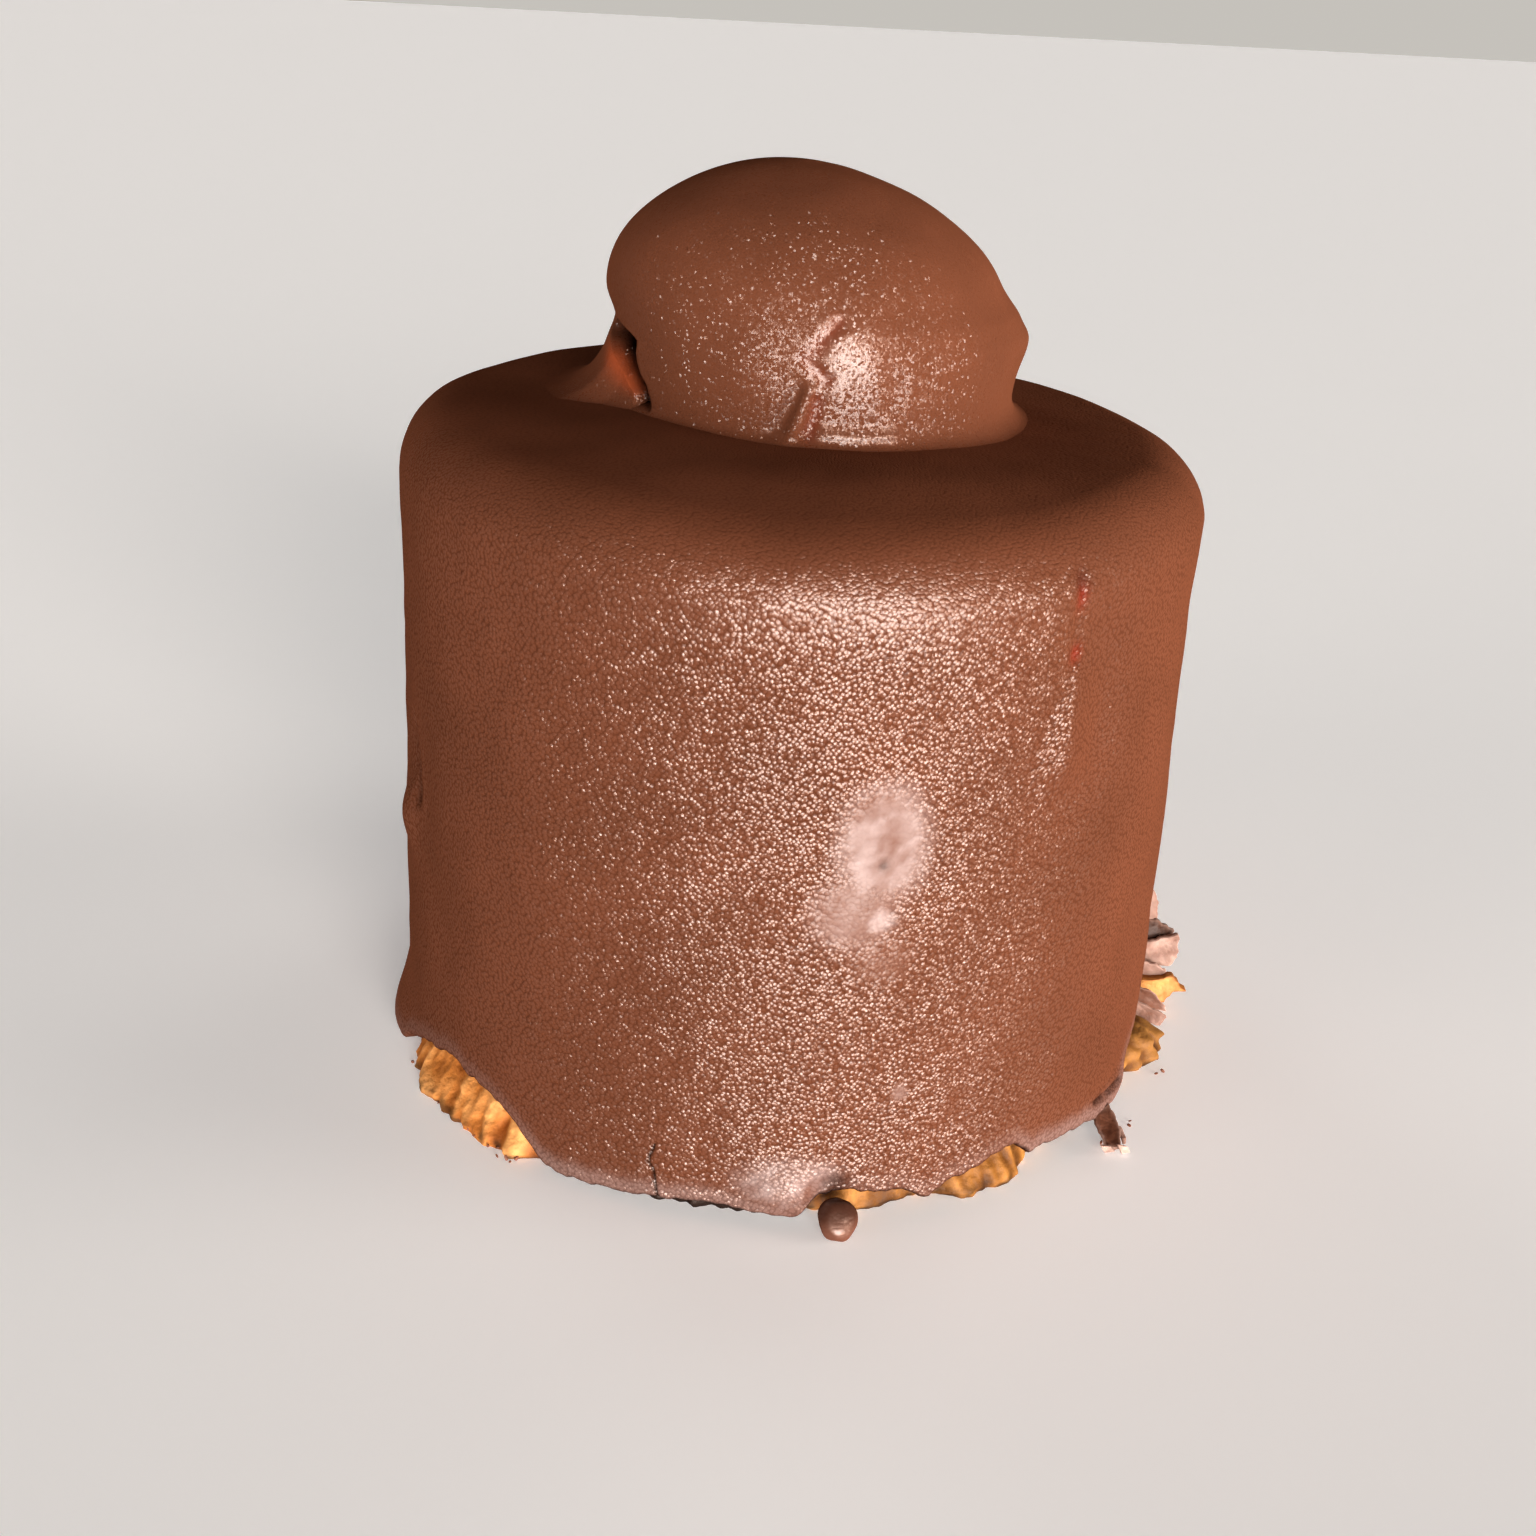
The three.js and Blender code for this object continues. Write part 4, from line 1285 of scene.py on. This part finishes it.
def broken_chocolate():
    """Milk chocolate where it snapped: dry and matt, with a paler, powdery break, and painted shade."""
    powder_size = 0.5
    powder_height = 0.12
    patch_size = 2.2
    material, tree, shader = new_material("broken_chocolate")
    place = add_node(tree, "ShaderNodeTexCoord").outputs["Object"]
    pale, dark = [
        add_node(tree, "ShaderNodeAttribute", attribute_name=mark).outputs["Fac"]
        for mark in ("pale", "dark")]
    powder = add_node(tree, "ShaderNodeTexNoise", {
        "Vector": place, "Scale": per_metre(powder_size), "Detail": 2.0})
    tone = add_node(tree, "ShaderNodeMix", {
        "Factor": powder.outputs["Fac"], "A": linear("#5a3222"), "B": linear("#7a4c38")}, data_type="RGBA")
    patchy = add_node(tree, "ShaderNodeTexNoise", {
        "Vector": place, "Scale": per_metre(patch_size), "Detail": 2.0})
    spread = add_node(tree, "ShaderNodeMapRange", {
        "Value": patchy.outputs["Fac"], "From Min": 0.35, "From Max": 0.65, "To Min": 0.25, "To Max": 1.15})
    uneven = add_node(tree, "ShaderNodeMath", {0: pale, 1: spread.outputs["Result"]}, operation="MULTIPLY")
    paled = add_node(tree, "ShaderNodeMix", {
        "Factor": uneven.outputs[0], "A": tone.outputs["Result"], "B": linear("#cfb3a8")}, data_type="RGBA")
    shaded = add_node(tree, "ShaderNodeMix", {
        "Factor": dark, "A": paled.outputs["Result"], "B": linear("#1c0b06")}, data_type="RGBA")
    bump = add_node(tree, "ShaderNodeBump", {
        "Height": powder.outputs["Fac"], "Distance": powder_height * MM, "Strength": 1.0})
    tree.links.new(shaded.outputs["Result"], shader.inputs["Base Color"])
    tree.links.new(bump.outputs["Normal"], shader.inputs["Normal"])
    shader.inputs["Roughness"].default_value = 0.55
    shader.inputs["IOR"].default_value = 1.47
    shader.inputs["Specular IOR Level"].default_value = 0.25
    return material


def baked_pastry():
    """Short pastry baked in a ribbed ring: dry golden ribs, browner and darker between them."""
    crumb_size = 0.7
    crumb_height = 0.25
    patch_size = 4.0
    patch_share = 0.5
    tone_stops = (0.35, 0.68, 1.0)
    material, tree, shader = new_material("baked_pastry")
    place = add_node(tree, "ShaderNodeTexCoord").outputs["Object"]
    rib, brown, dark = [
        add_node(tree, "ShaderNodeAttribute", attribute_name=mark).outputs["Fac"]
        for mark in ("rib", "brown", "dark")]
    crumb = add_node(tree, "ShaderNodeTexNoise", {
        "Vector": place, "Scale": per_metre(crumb_size), "Detail": 3.0})
    patchy = add_node(tree, "ShaderNodeTexNoise", {
        "Vector": place, "Scale": per_metre(patch_size), "Detail": 2.0})
    mixed = add_node(tree, "ShaderNodeMath", {
        0: patchy.outputs["Fac"], 1: patch_share, 2: rib}, operation="MULTIPLY_ADD")
    golden = add_node(tree, "ShaderNodeValToRGB", {"Fac": mixed.outputs[0]})
    browned = add_node(tree, "ShaderNodeValToRGB", {"Fac": mixed.outputs[0]})
    # The ribs pick the tone: low stops are painted shade in the grooves, high ones painted highlight
    for tone, low, middle, high in ((golden, "#8a4614", "#bd7636", "#e6a562"),
                                    (browned, "#3f2108", "#74481a", "#b27a3a")):
        stops = tone.color_ramp.elements
        stops[0].position = tone_stops[0]
        stops[0].color = linear(low)
        stops[1].position = tone_stops[2]
        stops[1].color = linear(high)
        stops.new(tone_stops[1]).color = linear(middle)
    baked = add_node(tree, "ShaderNodeMix", {
        "Factor": brown, "A": golden.outputs["Color"], "B": browned.outputs["Color"]}, data_type="RGBA")
    shaded = add_node(tree, "ShaderNodeMix", {
        "Factor": dark, "A": baked.outputs["Result"], "B": linear("#160803")}, data_type="RGBA")
    bump = add_node(tree, "ShaderNodeBump", {
        "Height": crumb.outputs["Fac"], "Distance": crumb_height * MM, "Strength": 1.0})
    tree.links.new(shaded.outputs["Result"], shader.inputs["Base Color"])
    tree.links.new(bump.outputs["Normal"], shader.inputs["Normal"])
    shader.inputs["Roughness"].default_value = 0.62
    shader.inputs["IOR"].default_value = 1.45
    shader.inputs["Specular IOR Level"].default_value = 0.2
    return material


def dark_crumb():
    """Broken chocolate and browned pastry crumbs: dark, dry and matt."""
    material, tree, shader = new_material("dark_crumb")
    place = add_node(tree, "ShaderNodeTexCoord").outputs["Object"]
    patchy = add_node(tree, "ShaderNodeTexNoise", {"Vector": place, "Scale": per_metre(1.6), "Detail": 2.0})
    tone = add_node(tree, "ShaderNodeMix", {
        "Factor": patchy.outputs["Fac"], "A": linear("#3a1a0d"), "B": linear("#8a4a28")}, data_type="RGBA")
    tree.links.new(tone.outputs["Result"], shader.inputs["Base Color"])
    shader.inputs["Roughness"].default_value = 0.7
    return material


def pale_floor_paint():
    """Smooth matt studio floor, almost white, lit from within like a light table."""
    material, tree, shader = new_material("pale_floor")
    place = add_node(tree, "ShaderNodeTexCoord").outputs["Object"]
    mottle = add_node(tree, "ShaderNodeTexNoise", {
        "Vector": place, "Scale": per_metre(60.0), "Detail": 2.0})
    tone = add_node(tree, "ShaderNodeMix", {
        "Factor": mottle.outputs["Fac"], "A": linear("#eff0f2"), "B": linear("#f3f4f6")}, data_type="RGBA")
    tree.links.new(tone.outputs["Result"], shader.inputs["Base Color"])
    shader.inputs["Roughness"].default_value = 0.9
    shader.inputs["Specular IOR Level"].default_value = 0.0
    shader.inputs["Emission Color"].default_value = linear("#f6f7f8")
    shader.inputs["Emission Strength"].default_value = 0.3
    return material


# Floor, light and camera

def floor_piece():
    half = 20000.0
    corners = np.array([(-half, -half, 0.0), (half, -half, 0.0), (half, half, 0.0), (-half, half, 0.0)])
    return mesh_piece("floor", corners, [(0, 1, 2, 3)], pale_floor_paint())


def far_light(name, azimuth, elevation, strength, spread, colour, diffuse, glossy):
    """Even soft light from far away, from an angle round the cake and above the ground."""
    data = bpy.data.lights.new(name, "SUN")
    data.energy = strength
    data.angle = math.radians(spread)
    data.color = linear(colour)[:3]
    data.cycles.use_multiple_importance_sampling = False
    light = bpy.data.objects.new(name, data)
    bpy.context.scene.collection.objects.link(light)
    light.visible_diffuse = diffuse
    light.visible_glossy = glossy
    turn = math.radians(azimuth)
    lift = math.radians(elevation)
    away = Vector((math.cos(lift) * math.cos(turn), math.cos(lift) * math.sin(turn), math.sin(lift)))
    light.location = away
    light.rotation_euler = away.to_track_quat("Z", "Y").to_euler()


def studio_light():
    """A low gleam with a warm rim and softer light from the front right, light thrown up from below
    them, softer light all round that leaves no gloss, and a pale backdrop that lights little."""
    for name, settings in FAR_LIGHTS.items():
        far_light(name, *settings)
    world = bpy.data.worlds.new("studio")
    world.use_nodes = True
    tree = world.node_tree
    tree.nodes.clear()
    seen = add_node(tree, "ShaderNodeLightPath").outputs["Is Camera Ray"]
    strength = add_node(tree, "ShaderNodeMapRange", {
        "Value": seen, "To Min": BACKDROP_LIGHT, "To Max": BACKDROP_SEEN})
    back = add_node(tree, "ShaderNodeBackground", {
        "Color": linear("#fffaf2"), "Strength": strength.outputs["Result"]})
    add_node(tree, "ShaderNodeOutputWorld", {"Surface": back.outputs["Background"]})
    bpy.context.scene.world = world


def photo_camera():
    nearest_seen = 10.0
    data = bpy.data.cameras.new("camera")
    data.lens = CAMERA_LENS
    data.sensor_width = CAMERA_WIDTH
    data.clip_start = nearest_seen * MM
    camera = bpy.data.objects.new("camera", data)
    bpy.context.scene.collection.objects.link(camera)
    at = Vector(CAMERA_AT) * MM
    aim = Vector(CAMERA_AIM) * MM
    look = (at - aim).to_track_quat("Z", "Y").to_matrix().to_4x4()
    camera.matrix_world = Matrix.Translation(at) @ look @ Matrix.Rotation(math.radians(CAMERA_ROLL), 4, "Z")
    bpy.context.scene.camera = camera


# The scene

chocolate = satin_chocolate(
    "satin_chocolate", pebble_size=0.33, pebble_height=0.1, small_lean=0.36, most_lean=0.22, rarity=1,
    side_radius=CAKE_RADIUS)
fine_chocolate = satin_chocolate(
    "fine_satin_chocolate", pebble_size=0.19, pebble_height=0.02, small_lean=0.2, most_lean=1.0, rarity=2)
broken = broken_chocolate()
pastry = baked_pastry()
crumb_paint = dark_crumb()

coat = cake_coat(chocolate)
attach(coat, "root")
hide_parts("coated_cake")

bun = profiterole_coat(fine_chocolate)
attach(bun, "root")
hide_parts("coated_profiterole")

base = pastry_base(pastry)
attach(base, "root")
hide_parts("pastry_base")

drop = hem_drop(chocolate)
flakes = coat_flakes(broken)
scatter = crumb_tree()
dark_crumbs = crumb_piece(
    "dark_crumbs", scatter, CRUMBS_PER_SQUARE_METRE, CRUMB_SIZE, CRUMB_SEED, crumb_paint)
for piece in (drop, flakes, dark_crumbs):
    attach(piece, "root")

golden_flakes = pastry_flakes(pastry)
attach(golden_flakes, "root")

floor = floor_piece()
floor.visible_shadow = False
floor.visible_glossy = False
studio_light()
photo_camera()
bpy.context.scene.view_settings.view_transform = "Standard"
